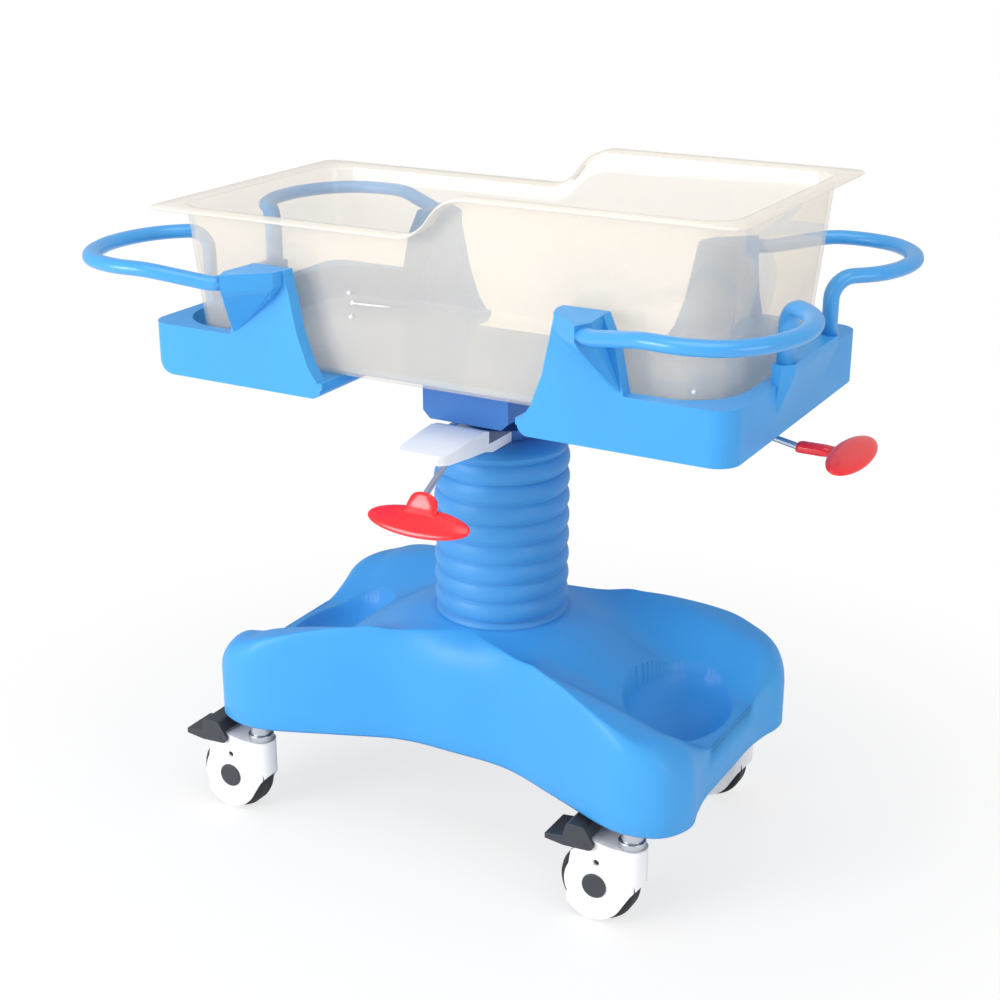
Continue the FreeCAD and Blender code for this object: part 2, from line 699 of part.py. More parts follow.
lever_rod("height_lever_rod", HEIGHT_PIVOT, TOWARDS_NEAR_SIDE, HEIGHT_ROD_END)
paddle("height_paddle", HEIGHT_PIVOT, TOWARDS_NEAR_SIDE, HEIGHT_ROD_END, HEIGHT_GRIP, 34.8, HEIGHT_NECK)
lever_pin("height_lever_pin", HEIGHT_PIVOT, TOWARDS_NEAR_SIDE, "housing_half_width + housing_half_width - 12")
lever_rod("tilt_lever_rod", TILT_PIVOT, TOWARDS_END, TILT_ROD_END)
paddle("tilt_paddle", TILT_PIVOT, TOWARDS_END, TILT_ROD_END, TILT_GRIP, 17.8, TILT_NECK)
lever_pin("tilt_lever_pin", TILT_PIVOT, TOWARDS_END, "lever_eye_width + 16")


def tilt_bracket():
    """Bracket under the tray with two ears for the tilt lever's pin."""
    piece = body("tilt_bracket")
    x, _, z = TILT_PIVOT
    top = size("tray_bottom")
    ears = [(x - 9, top - 2.5), (x - 9, z), arc_to((x, z), 9, 270, 360), (x + 9, top - 2.5)]
    pad(piece, sketch(piece, "XZ_Plane", [ears]), "lever_eye_width + 16", True)
    gap = rectangle_at(x - 10, x + 10, z - 10, top - 2.5)
    cut(piece, sketch(piece, "XZ_Plane", [gap]), "lever_eye_width + 2")
    plate = rectangle_at(x - 22, x + 22, top - 2.5, top)
    pad(piece, sketch(piece, "XZ_Plane", [plate]), "lever_eye_width + 26", True)
    cut(piece, sketch(piece, "XZ_Plane", [circle(x, z, "lever_pin_radius")]), "lever_eye_width + 18")
    return piece


tilt_bracket()

# ------------------------------------------------------------------ cradle

WING_TOP_FROM = 180
WING_TOP_TO = 237
WING_WINDOW = 263
BUCKET_FROM = 133


def cradle_block():
    """Steel block under the tray, bored for the tilt pin."""
    piece = body("cradle_block")
    pivot = size("pivot_height")
    top = size("plate_bottom")
    block = [(-25, top - 8), (-20, pivot - 15), (-12, pivot - 20), (12, pivot - 20), (20, pivot - 15),
             (25, top - 8)]
    pad(piece, sketch(piece, "XZ_Plane", [block]),
        "yoke_half_width + yoke_half_width - ear_thickness - ear_thickness - 1", True)
    plate = rectangle_at(5 - size("skirt_half_length"), size("skirt_half_length") - 5, top - 8, top)
    pad(piece, sketch(piece, "XZ_Plane", [plate]), "skirt_half_width + skirt_half_width - 16", True)
    cut(piece, sketch(piece, "XZ_Plane", [circle(0, pivot, "pivot_pin_radius + running_clearance")]),
        "skirt_half_width + skirt_half_width")
    return piece


def pivot_skirt():
    """Plastic skirt that hides the pivot, open above and below, with its lower corners cut off."""
    piece = body("pivot_skirt")
    low = size("skirt_bottom")
    half_x = size("skirt_half_length")
    half_y = size("skirt_half_width")
    wall = size("skirt_wall")
    side = [(-half_x, low + 10), (-half_x + 10, low), (half_x - 10, low), (half_x, low + 10),
            (half_x, size("plate_bottom")), (-half_x, size("plate_bottom"))]
    pad(piece, sketch(piece, "XZ_Plane", [side]), "skirt_half_width + skirt_half_width", True)
    cut(piece, sketch(piece, "XY_Plane", [rounded(half_x - wall, half_y - wall, 6)]),
        "plate_bottom + plate_bottom + 10")
    return piece


def cradle_tray():
    """Tray with two buckets, four wings and a thin floor between the buckets."""
    piece = body("cradle_tray")
    bottom = size("tray_bottom")
    seat = size("tub_seat")
    top = size("wing_top")
    sill = size("window_sill")
    reach = size("tray_half_length")
    half = size("tray_half_width")
    wall = size("tray_wall")
    corner = size("tray_corner")
    over = top + 20
    pad(piece, sketch(piece, "XY_Plane", [rounded(reach, half, corner)], raised(bottom)),
        "wing_top - tray_bottom")
    pad_inner = rounded(reach - wall, half - wall, size("bucket_corner"))
    pocket = cut(piece, sketch(piece, "XY_Plane", [pad_inner], raised(over)),
                 "wing_top + 20 - tub_seat", False)
    pocket.Reversed = False
    for side in (1, -1):
        window = [(side * WING_TOP_TO, over), (side * WING_TOP_TO, top), (side * (WING_TOP_TO + 15), top - 33),
                  (side * WING_WINDOW, sill), (side * (reach + 10), sill), (side * (reach + 10), over)]
        cut(piece, sketch(piece, "XZ_Plane", [window]), "tray_half_width + tray_half_width + 20")
    middle = [(-WING_TOP_FROM, over), (-WING_TOP_FROM, top), (-WING_TOP_FROM + 16, top - 76),
              (-WING_TOP_FROM + 30, seat + 17), (-BUCKET_FROM - 5, seat)]
    middle += [(-x, z) for x, z in middle[::-1]]
    cut(piece, sketch(piece, "XZ_Plane", [middle]), "tray_half_width + tray_half_width + 20")
    foot = [(-reach - 1, bottom - 1), (-reach + 42, bottom - 1), (-reach + 42, bottom),
            (-reach + 13, bottom + 9, -reach, bottom + 32), (-reach - 1, bottom + 32)]
    cut(piece, sketch(piece, "XZ_Plane", [foot]), "tray_half_width + tray_half_width + 20")
    step = size("plate_bottom")
    under = [(BUCKET_FROM + 16, bottom - 1), (BUCKET_FROM + 16, bottom),
             (BUCKET_FROM + 4, bottom + 4, BUCKET_FROM, step), (-BUCKET_FROM, step),
             (-BUCKET_FROM - 4, bottom + 4, -BUCKET_FROM - 16, bottom), (-BUCKET_FROM - 16, bottom - 1)]
    cut(piece, sketch(piece, "XZ_Plane", [under]), "tray_half_width + tray_half_width + 20")
    for side_x, side_y in CORNERS:
        handle_mounts(piece, side_x, side_y)
    for side_x in (1, -1):
        post_shelf(piece, side_x)
    return piece


HANDLE_START = (236, 249)
HANDLE_HEADING = (0.914, 0.406)


def handle_mounts(piece, side_x, side_y):
    """Slab on the wing that takes the handle's end, and the gusset that tapers from it to the window's corner."""
    half = size("tray_half_width")
    tube = size("handle_radius")
    under = size("wing_top") - 2 * tube
    inner = half - size("tray_wall") / 2
    near = (HANDLE_START[0] + HANDLE_HEADING[1] * tube, HANDLE_START[1] - HANDLE_HEADING[0] * tube)
    far = (HANDLE_START[0] - HANDLE_HEADING[1] * tube, HANDLE_START[1] + HANDLE_HEADING[0] * tube)
    slab = [(WING_TOP_FROM + 1, inner), (WING_TOP_FROM + 5, half + 14), far, near, (WING_TOP_TO - 1, inner)]
    slab = [(side_x * x, side_y * y) for x, y in slab]
    pad(piece, sketch(piece, "XY_Plane", [slab], raised(under)), "handle_radius + handle_radius")
    root = [(WING_WINDOW - 10, inner), (WING_WINDOW - 9, half - 1), (WING_WINDOW - 5, half + 0.5),
            (WING_WINDOW - 3, half - 1), (WING_WINDOW - 3, inner)]
    root = [(side_x * x, side_y * y) for x, y in root]
    loft(piece, "AdditiveLoft", [
        sketch(piece, "XY_Plane", [root], raised(size("window_sill") + 4)),
        sketch(piece, "XY_Plane", [slab], raised(under))])


def post_shelf(piece, side_x):
    """Raised middle of the end wall, corbelled out to carry both posts."""
    inside = size("post_x - handle_radius")
    flush = size("tray_half_length") - 2
    out = size("post_x + handle_radius")
    reach = size("post_y + handle_radius") + 2
    low = [(inside, -reach + 8), (flush - 2, -reach + 8), (flush, -reach + 12),
           (flush, reach - 12), (flush - 2, reach - 8), (inside, reach - 8)]
    high = [(inside, -reach), (out - 12, -reach), (out, -reach + 12),
            (out, reach - 12), (out - 12, reach), (inside, reach)]
    low = [(side_x * x, y) for x, y in low]
    high = [(side_x * x, y) for x, y in high]
    shelf = size("post_foot") - 12
    loft(piece, "AdditiveLoft", [
        sketch(piece, "XY_Plane", [low], raised(size("tray_bottom") + 22)),
        sketch(piece, "XY_Plane", [high], raised(shelf))])
    pad(piece, sketch(piece, "XY_Plane", [high], raised(shelf)), "12")


def bend(points, share=0.45):
    """Straight runs through the points, joined by tangent arcs as large as the runs allow."""
    points = [Vector(*point) for point in points]
    edges = []
    start = points[0]
    for before, corner, after in zip(points, points[1:], points[2:]):
        back = (before - corner).normalize()
        onward = (after - corner).normalize()
        run = share * min((before - corner).Length, (after - corner).Length)
        first = corner + back * run
        last = corner + onward * run
        half_turn = (math.pi - back.getAngle(onward)) / 2
        radius = run / math.tan(half_turn)
        inward = (back + onward).normalize()
        middle = corner + inward * (radius / math.cos(half_turn) - radius)
        edges.append(Part.LineSegment(start, first).toShape())
        edges.append(Part.Arc(first, middle, last).toShape())
        start = last
    edges.append(Part.LineSegment(start, points[-1]).toShape())
    return Part.Wire(edges)


def corner_handle(label, side_x, side_y):
    """Tube from the wing round the corner of the tray and down to its pillar."""
    height = size("handle_height")
    tube = size("handle_radius")
    far_x = size("handle_reach_x") - tube
    far_y = size("handle_reach_y") - tube
    post = (size("post_x"), size("post_y"))
    plan = [HANDLE_START, (far_x - 134, far_y - 3), (far_x - 94, far_y + 2), (far_x - 50, far_y - 9),
            (far_x - 16, far_y - 45), (far_x, far_y - 94), (far_x - 2, post[1] + 80),
            (far_x - 17, post[1] + 40), post]
    points = [(side_x * x, side_y * y, height) for x, y in plan]
    root = Vector(side_x * HANDLE_START[0], side_y * HANDLE_START[1], height - size("handle_dip"))
    level = root + Vector(side_x * HANDLE_HEADING[0], side_y * HANDLE_HEADING[1], 0) * 16
    points[:1] = [tuple(root), tuple(level)]
    points.append((side_x * post[0], side_y * post[1], size("post_foot")))
    path = bend(points)
    heading = (Vector(*points[1]) - Vector(*points[0])).normalize()
    section = Part.Wire([Part.makeCircle(tube, Vector(*points[0]), heading)])
    piece = doc.addObject("Part::Feature", label)
    piece.Shape = path.makePipeShell([section], True, False)
    return keep(piece, label)


cradle_block()
pivot_skirt()
cradle_tray()
for number, (side_x, side_y) in enumerate(CORNERS, 1):
    corner_handle("corner_handle_%d" % number, side_x, side_y)

# ------------------------------------------------------------------ clear tub


def rim_curve(below):
    """The rim's stepped upper line, or the line below it by a wall, from the low end to the high end."""
    low = size("tub_top - tub_step")
    high = size("tub_top")
    x0 = -size("step_start")
    x1 = size("step_end")
    length = x1 - x0
    rise = high - low
    bend_radius = (length * length + rise * rise) / (4 * rise)
    sweep = math.degrees(math.atan2(length / 2, bend_radius - rise / 2))
    lower = arc_to((x0, low + bend_radius), bend_radius + below, sweep / 2 - 90, sweep - 90)
    upper = arc_to((x1, high - bend_radius), bend_radius - below, sweep / 2 + 90, 90)
    return [(x0, low - below), lower, upper]


def tub():
    """Clear moulded tub: drafted walls, a rim that steps up at the head end and an outward flange."""
    piece = body("tub")
    top = size("tub_top")
    bottom = size("tub_seat + seat_gap")
    wall = size("tub_wall")
    corner = size("tub_corner")
    x_top = size("tub_half_length")
    y_top = size("tub_half_width")
    x_low = x_top - size("tub_draft_x")
    y_low = y_top - size("tub_draft_y")
    loft(piece, "AdditiveLoft", [
        sketch(piece, "XY_Plane", [rounded(x_low, y_low, corner)], raised(bottom)),
        sketch(piece, "XY_Plane", [rounded(x_top, y_top, corner)], raised(top))])
    reach = size("tub_half_length + flange_width")
    over = top + 10
    above = [(-reach - 10, over), (-reach - 10, top - size("tub_step"))] + rim_curve(0)
    above += [(reach + 10, top), (reach + 10, over)]
    cut(piece, sketch(piece, "XZ_Plane", [above]), "tub_half_width + tub_half_width + 20")
    strip = [(-reach, top - size("tub_step"))] + rim_curve(0) + [(reach, top), (reach, top - wall)]
    strip += reversed_curve(rim_curve(wall)) + [(-reach, top - size("tub_step") - wall)]
    pad(piece, sketch(piece, "XZ_Plane", [strip]),
        "tub_half_width + tub_half_width + flange_width + flange_width", True)
    half = size("tub_half_width + flange_width")
    outside = [rectangle(reach + 20, half + 20), rounded(reach, half, size("flange_corner"))]
    cut(piece, sketch(piece, "XY_Plane", outside), "tub_top + tub_top + 20")
    loft(piece, "SubtractiveLoft", [
        sketch(piece, "XY_Plane", [rounded(x_low - wall, y_low - wall, corner - wall)], raised(bottom + wall)),
        sketch(piece, "XY_Plane", [rounded(x_top - wall + 0.4, y_top - wall + 0.2, corner - wall)],
               raised(top + 4))])
    return piece


def reversed_curve(curve):
    """The same arcs and points, walked from the last to the first."""
    ends = [item[-2:] for item in curve][::-1]
    middles = [item[:2] for item in curve[1:]][::-1]
    return [ends[0]] + [middle + end for middle, end in zip(middles, ends[1:])]


tub()

# ------------------------------------------------------------------ checking and writing

doc.recompute()
for item in doc.Objects:
    if "Invalid" in item.State or "Error" in item.State:
        raise RuntimeError("%s failed: %s" % (item.Label, item.State))
for piece in PARTS:
    if piece.Shape.isNull() or not piece.Shape.isValid():
        raise RuntimeError("%s has no valid shape" % piece.Label)

os.makedirs("parts", exist_ok=True)
for piece in PARTS:
    piece.Shape.exportStep(os.path.join("parts", piece.Label + ".step"))
    box = piece.Shape.BoundBox
    print("%-22s %10.0f mm3  x %7.1f %7.1f  y %7.1f %7.1f  z %7.1f %7.1f  solids %d" % (
        piece.Label, piece.Shape.Volume, box.XMin, box.XMax, box.YMin, box.YMax, box.ZMin, box.ZMax,
        len(piece.Shape.Solids)))
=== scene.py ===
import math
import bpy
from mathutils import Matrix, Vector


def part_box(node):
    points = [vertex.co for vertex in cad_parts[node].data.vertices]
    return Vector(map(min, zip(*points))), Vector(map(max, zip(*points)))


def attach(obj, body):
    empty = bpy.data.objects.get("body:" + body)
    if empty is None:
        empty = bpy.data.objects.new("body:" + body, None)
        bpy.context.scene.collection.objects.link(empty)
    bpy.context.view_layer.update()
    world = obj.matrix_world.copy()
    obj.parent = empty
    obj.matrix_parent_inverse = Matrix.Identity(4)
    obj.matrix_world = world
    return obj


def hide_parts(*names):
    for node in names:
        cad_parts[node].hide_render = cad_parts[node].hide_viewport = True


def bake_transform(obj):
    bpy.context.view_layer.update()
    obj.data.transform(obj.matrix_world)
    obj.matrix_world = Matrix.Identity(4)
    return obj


bl_info = {
    "name": "Hospital bassinet",
    "version": (1, 0, 0),
    "blender": (4, 5, 0),
    "location": "View3D > Sidebar > Bassinet",
    "description": "Dresses the packed bassinet frame with finished pieces, materials, light and a camera",
    "category": "Object",
}

import bmesh
import bpy
from mathutils import Matrix, Vector

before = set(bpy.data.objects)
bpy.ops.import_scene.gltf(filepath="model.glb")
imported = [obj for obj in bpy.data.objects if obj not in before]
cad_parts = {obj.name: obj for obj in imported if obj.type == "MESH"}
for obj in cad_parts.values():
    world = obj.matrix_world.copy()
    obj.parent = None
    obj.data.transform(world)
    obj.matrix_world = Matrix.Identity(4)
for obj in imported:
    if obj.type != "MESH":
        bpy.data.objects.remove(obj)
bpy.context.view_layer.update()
CORNERS = ((1, -1), (1, 1), (-1, -1), (-1, 1))


def linear(text):
    """sRGB hex text to the linear colour that sockets take."""
    parts = [int(text[i:i + 2], 16) / 255 for i in (1, 3, 5)]
    return [c / 12.92 if c <= 0.04045 else ((c + 0.055) / 1.055) ** 2.4 for c in parts] + [1.0]


def add_node(tree, kind, inputs=None, links=None, **settings):
    """Adds a node: settings on the node, values on its inputs, and links into its inputs."""
    node = tree.nodes.new(kind)
    for name, value in settings.items():
        setattr(node, name, value)
    for name, value in (inputs or {}).items():
        node.inputs[name].default_value = value
    for name, socket in (links or {}).items():
        tree.links.new(socket, node.inputs[name])
    return node


# ------------------------------------------------------------------ user's values


class BassinetColours(bpy.types.PropertyGroup):
    """Colours of the finishes."""
    cover: bpy.props.StringProperty(
        name="Moulded blue", description="Base cover and cradle, sRGB hex", default="#47A7EC")
    cover_shade: bpy.props.StringProperty(
        name="Moulded blue, shaded", description="Darker clouds in the same blue, and the handles", default="#409DE3")
    deep: bpy.props.StringProperty(name="Deep blue", description="Skirt and lifting head", default="#2E71BC")
    gaiter: bpy.props.StringProperty(name="Gaiter blue", description="Rubber bellows", default="#3489CC")
    red: bpy.props.StringProperty(name="Lever red", description="Lever paddles", default="#FF2027")
    white: bpy.props.StringProperty(
        name="Nylon white", description="Caster hoods, wheels and lever housing", default="#FBFBFC")
    tread: bpy.props.StringProperty(name="Tread black", description="Wheel treads", default="#1C1D22")
    grey: bpy.props.StringProperty(name="Pedal grey", description="Brake pedals and axle caps", default="#3A3E45")


class BassinetSizes(bpy.types.PropertyGroup):
    """Sizes of details that the frame leaves open."""
    edge: bpy.props.FloatProperty(
        name="Moulded edge", description="Rounding of the cradle's edges", default=0.0025, unit="LENGTH")
    bowl_rim: bpy.props.FloatProperty(
        name="Bowl rim", description="Softness of the bowls' rims", default=0.012, unit="LENGTH")
    ribs: bpy.props.IntProperty(name="Gaiter ribs", description="Ribs of the bellows", default=8, min=3, max=20)
    sides: bpy.props.IntProperty(name="Tube sides", description="Sides of round tubes", default=28, min=8, max=64)


def colours():
    """Colours that the user may change."""
    return bpy.context.scene.bassinet_colours


def sizes():
    """Sizes that the user may change."""
    return bpy.context.scene.bassinet_sizes


# ------------------------------------------------------------------ materials


def start_material(name):
    """An emptied node tree, its object coordinates and its output."""
    material = bpy.data.materials.get(name) or bpy.data.materials.new(name)
    material.use_nodes = True
    tree = material.node_tree
    tree.nodes.clear()
    place = add_node(tree, "ShaderNodeTexCoord").outputs["Object"]
    output = add_node(tree, "ShaderNodeOutputMaterial")
    return material, tree, place, output


def moulded(name, colour, shade, roughness, grain_mm, grain_mm_high, extra=None):
    """Moulded or coated surface: two close colours in soft clouds, a fine grain and uneven gloss."""
    material, tree, place, output = start_material(name)
    clouds = add_node(tree, "ShaderNodeTexNoise", {"Scale": 7.0, "Detail": 3.0, "Roughness": 0.5}, {"Vector": place})
    tint = add_node(tree, "ShaderNodeMix", {6: linear(shade), 7: linear(colour)},
                    {"Factor": clouds.outputs["Fac"]}, data_type="RGBA")
    patches = add_node(tree, "ShaderNodeTexNoise", {"Scale": 23.0, "Detail": 4.0, "Roughness": 0.6}, {"Vector": place})
    gloss = add_node(tree, "ShaderNodeMapRange", {"To Min": roughness - 0.05, "To Max": roughness + 0.06},
                     {"Value": patches.outputs["Fac"]})
    grain = add_node(tree, "ShaderNodeTexNoise", {"Scale": 1000 / grain_mm, "Detail": 2.0}, {"Vector": place})
    bump = add_node(tree, "ShaderNodeBump", {"Strength": 0.35, "Distance": grain_mm_high / 1000},
                    {"Height": grain.outputs["Fac"]})
    shader = add_node(tree, "ShaderNodeBsdfPrincipled", extra,
                      {"Base Color": tint.outputs[2], "Roughness": gloss.outputs["Result"],
                       "Normal": bump.outputs["Normal"]})
    tree.links.new(shader.outputs["BSDF"], output.inputs["Surface"])
    return material


def brushed(name, colour, roughness, stretch, depth_mm):
    """Drawn or ground metal: fine lines along one direction that vary the gloss."""
    material, tree, place, output = start_material(name)
    lines = add_node(tree, "ShaderNodeMapping", {"Scale": stretch}, {"Vector": place})
    scratches = add_node(tree, "ShaderNodeTexNoise", {"Scale": 900.0, "Detail": 3.0},
                         {"Vector": lines.outputs["Vector"]})
    gloss = add_node(tree, "ShaderNodeMapRange", {"To Min": roughness - 0.08, "To Max": roughness + 0.1},
                     {"Value": scratches.outputs["Fac"]})
    bump = add_node(tree, "ShaderNodeBump", {"Strength": 0.3, "Distance": depth_mm / 1000},
                    {"Height": scratches.outputs["Fac"]})
    shader = add_node(tree, "ShaderNodeBsdfPrincipled", {"Base Color": linear(colour), "Metallic": 1.0},
                      {"Roughness": gloss.outputs["Result"], "Normal": bump.outputs["Normal"]})
    tree.links.new(shader.outputs["BSDF"], output.inputs["Surface"])
    return material


def rotomoulded_polyethylene():
    """Big hollow moulding: waxy, low gloss, with a faint orange peel."""
    return moulded("rotomoulded_polyethylene", colours().cover, colours().cover_shade, 0.42, 3.0, 0.08,
                   {"IOR": 1.5, "Specular IOR Level": 0.35})


def moulded_abs():
    """Thick injection moulding: an even, slightly glossier skin."""
    return moulded("moulded_abs", colours().cover, colours().cover_shade, 0.38, 2.0, 0.05,
                   {"IOR": 1.53, "Specular IOR Level": 0.3})


def coated_tube():
    """Steel tube in a thick plastic coat: soft gloss and a little waviness."""
    return moulded("coated_tube", colours().cover_shade, colours().cover, 0.3, 4.0, 0.06,
                   {"IOR": 1.5, "Coat Weight": 0.2})


def textured_abs():
    """Dark blue covers with a spark-eroded grain that kills the gloss."""
    return moulded("textured_abs", colours().deep, colours().deep, 0.5, 1.2, 0.12, {"IOR": 1.53})


def gaiter_rubber():
    """Moulded rubber: dull, with a dusty bloom at grazing angles."""
    return moulded("gaiter_rubber", colours().gaiter, colours().cover_shade, 0.5, 1.6, 0.08,
                   {"IOR": 1.52, "Sheen Weight": 0.15, "Sheen Roughness": 0.5})


def dipped_pvc():
    """Soft grip dipped in vinyl: wet-looking and saturated."""
    return moulded("dipped_pvc", colours().red, "#F5222C", 0.26, 3.0, 0.05, {"IOR": 1.54, "Coat Weight": 0.3})


def white_nylon():
    """Injection-moulded nylon: clean white with a slight satin grain."""
    return moulded("white_nylon", colours().white, "#F2F3F6", 0.34, 1.2, 0.04, {"IOR": 1.53})


def polyurethane_tread():
    """Cast tread: nearly black, rubbed a little grey."""
    return moulded("polyurethane_tread", colours().tread, "#26272C", 0.48, 1.5, 0.1, {"IOR": 1.5})


def grey_nylon():
    """Glass-filled nylon of the pedals and caps: dark grey, matt."""
    return moulded("grey_nylon", colours().grey, "#33363C", 0.46, 1.2, 0.08, {"IOR": 1.53})


def zinc_plate():
    """Bright zinc on turned or sheared steel."""
    return brushed("zinc_plate", "#C9CCD1", 0.3, (1, 1, 0.15), 0.02)


def hard_chrome():
    """Ground and chromed tube of the lift."""
    return brushed("hard_chrome", "#DFE2E6", 0.14, (1, 1, 0.05), 0.005)


def black_powder_coat():
    """Powder coat on the welded frame: fine orange peel."""
    return moulded("black_powder_coat", "#202226", "#1A1B1F", 0.45, 1.8, 0.12, {"IOR": 1.5})


def clear_acrylic(name="clear_acrylic", haze=0.2):
    """Vacuum-formed acrylic: clear with a milky, slightly warm bloom, sharp reflections and light let through."""
    material, tree, place, output = start_material(name)
    waves = add_node(tree, "ShaderNodeTexNoise", {"Scale": 9.0, "Detail": 1.0}, {"Vector": place})
    bump = add_node(tree, "ShaderNodeBump", {"Strength": 0.12, "Distance": 0.004}, {"Height": waves.outputs["Fac"]})
    clouds = add_node(tree, "ShaderNodeTexNoise", {"Scale": 14.0, "Detail": 3.0}, {"Vector": place})
    bloom = add_node(tree, "ShaderNodeMapRange", {"To Min": haze * 0.8, "To Max": haze * 1.2},
                     {"Value": clouds.outputs["Fac"]})
    clear = add_node(tree, "ShaderNodeBsdfTransparent", {"Color": linear("#FBF9F6")})
    milk = add_node(tree, "ShaderNodeBsdfDiffuse", {"Color": linear("#FFFAF2")})
    body = add_node(tree, "ShaderNodeMixShader", None, {"Fac": bloom.outputs["Result"]})
    tree.links.new(clear.outputs["BSDF"], body.inputs[1])
    tree.links.new(milk.outputs["BSDF"], body.inputs[2])
    facing = add_node(tree, "ShaderNodeLayerWeight", {"Blend": 0.5}, {"Normal": bump.outputs["Normal"]})
    grazing = add_node(tree, "ShaderNodeMath", {1: 4.0}, {0: facing.outputs["Facing"]}, operation="POWER")
    mirror = add_node(tree, "ShaderNodeMapRange", {"To Min": 0.02, "To Max": 0.4}, {"Value": grazing.outputs[0]})
    shine = add_node(tree, "ShaderNodeBsdfGlossy", {"Color": linear("#FFFDFA"), "Roughness": 0.04},
                     {"Normal": bump.outputs["Normal"]})
    skin = add_node(tree, "ShaderNodeMixShader", None, {"Fac": mirror.outputs["Result"]})
    tree.links.new(body.outputs["Shader"], skin.inputs[1])
    tree.links.new(shine.outputs["BSDF"], skin.inputs[2])
    tree.links.new(skin.outputs["Shader"], output.inputs["Surface"])
    return material


# ------------------------------------------------------------------ making pieces

MERGE = 1e-6
FLAT_ANGLE = math.radians(2)
SHARP_ANGLE = math.radians(28)


def new_piece(name, mesh, material, body, *nodes, smooth=True):
    """Finished mesh to an object that rides on a body and stands for frame nodes."""
    mesh.materials.clear()
    mesh.materials.append(material)
    for face in mesh.polygons:
        face.use_smooth = smooth
    piece = bpy.data.objects.new(name, mesh)
    bpy.context.scene.collection.objects.link(piece)
    if body:
        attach(piece, body)
    if nodes:
        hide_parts(*nodes)
    return piece


def mesh_from(name, points, faces):
    """Mesh of points and faces."""
    mesh = bpy.data.meshes.new(name)
    mesh.from_pydata([tuple(p) for p in points], [], faces)
    mesh.validate()
    mesh.update()
    return mesh


def outward(mesh):
    """Merges doubles and turns every face outwards."""
    work = bmesh.new()
    work.from_mesh(mesh)
    bmesh.ops.remove_doubles(work, verts=work.verts, dist=MERGE)
    bmesh.ops.recalc_face_normals(work, faces=work.faces)
    work.to_mesh(mesh)
    work.free()
    return mesh


def rings_mesh(name, rings, close_first=False, close_last=False, loop=False):
    """Skin over rows of equally many points, each row closed."""
    count = len(rings[0])
    points = [p for ring in rings for p in ring]
    faces = []
    rows = len(rings)
    for row in range(rows if loop else rows - 1):
        below = row * count
        above = ((row + 1) % rows) * count
        for i in range(count):
            j = (i + 1) % count
            faces.append((below + i, below + j, above + j, above + i))
    if close_first:
        faces.append(tuple(range(count))[::-1])
    if close_last:
        faces.append(tuple(range((rows - 1) * count, rows * count)))
    return outward(mesh_from(name, points, faces))


def lathe(name, outline, centre, axis, steps=64):
    """Closed outline of (radius, along) turned round an axis through centre."""
    rings = []
    for radius, along in outline:
        ring = []
        for step in range(steps):
            angle = 2 * math.pi * step / steps
            u, v = radius * math.cos(angle), radius * math.sin(angle)
            spot = {"X": (along, u, v), "Y": (u, along, v), "Z": (u, v, along)}[axis]
            ring.append(Vector(spot) + Vector(centre))
        rings.append(ring)
    return rings_mesh(name, rings, loop=True)


def joined(name, *meshes):
    """One mesh of several."""
    work = bmesh.new()
    for mesh in meshes:
        work.from_mesh(mesh)
    whole = bpy.data.meshes.new(name)
    work.to_mesh(whole)
    work.free()
    return whole


def box_mesh(low, high):
    """Box between two corners."""
    low, high = Vector(low), Vector(high)
    place = Matrix.Translation((low + high) / 2) @ Matrix.Diagonal((*(high - low), 1))
    work = bmesh.new()
    bmesh.ops.create_cube(work, size=1, matrix=place)
    mesh = bpy.data.meshes.new("box")
    work.to_mesh(mesh)
    work.free()
    return mesh


def carved(mesh, boxes):
    """Mesh with boxes taken out of it."""
    host = bpy.data.objects.new("carve_host", mesh)
    tool = bpy.data.objects.new("carve_tool", joined("carve_tool", *[box_mesh(*box) for box in boxes]))
    for item in (host, tool):
        bpy.context.scene.collection.objects.link(item)
    carve = host.modifiers.new("carve", "BOOLEAN")
    carve.object = tool
    carve.solver = "EXACT"
    ready = host.evaluated_get(bpy.context.evaluated_depsgraph_get())
    result = bpy.data.meshes.new_from_object(ready)
    bpy.data.objects.remove(host)
    bpy.data.objects.remove(tool)
    return result


def merged(mesh, join_flat=False):
    """Mesh with its doubled vertices joined and, if asked, its flat faces run together."""
    work = bmesh.new()
    work.from_mesh(mesh)
    bmesh.ops.remove_doubles(work, verts=work.verts, dist=MERGE)
    if join_flat:
        bmesh.ops.dissolve_degenerate(work, dist=MERGE, edges=work.edges)
        bmesh.ops.dissolve_limit(work, angle_limit=FLAT_ANGLE, verts=work.verts, edges=work.edges)
    work.to_mesh(mesh)
    work.free()
    return mesh


def softened(node, name, material, body, width, segments=2, boxes=(), reshape=None):
    """Merged copy of a frame node, carved by boxes, its corners moved by reshape and its sharp edges rounded."""
    mesh = merged(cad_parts[node].data.copy())
    if boxes:
        mesh = carved(mesh, boxes)
    if reshape:
        for vertex in mesh.vertices:
            reshape(vertex.co)
    mesh = merged(mesh, join_flat=True)
    mesh.name = name
    piece = new_piece(name, mesh, material, body, node)
    bevel = piece.modifiers.new("edges", "BEVEL")
    bevel.width = width
    bevel.segments = segments
    bevel.limit_method = "ANGLE"
    bevel.angle_limit = SHARP_ANGLE
    bevel.use_clamp_overlap = True
    bevel.miter_outer = "MITER_ARC"
    normals = piece.modifiers.new("normals", "WEIGHTED_NORMAL")
    normals.keep_sharp = False
    return piece


def paint(nodes, material):
    """Better material on frame nodes that keep their own mesh."""
    for node in nodes:
        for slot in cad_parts[node].material_slots:
            slot.material = material


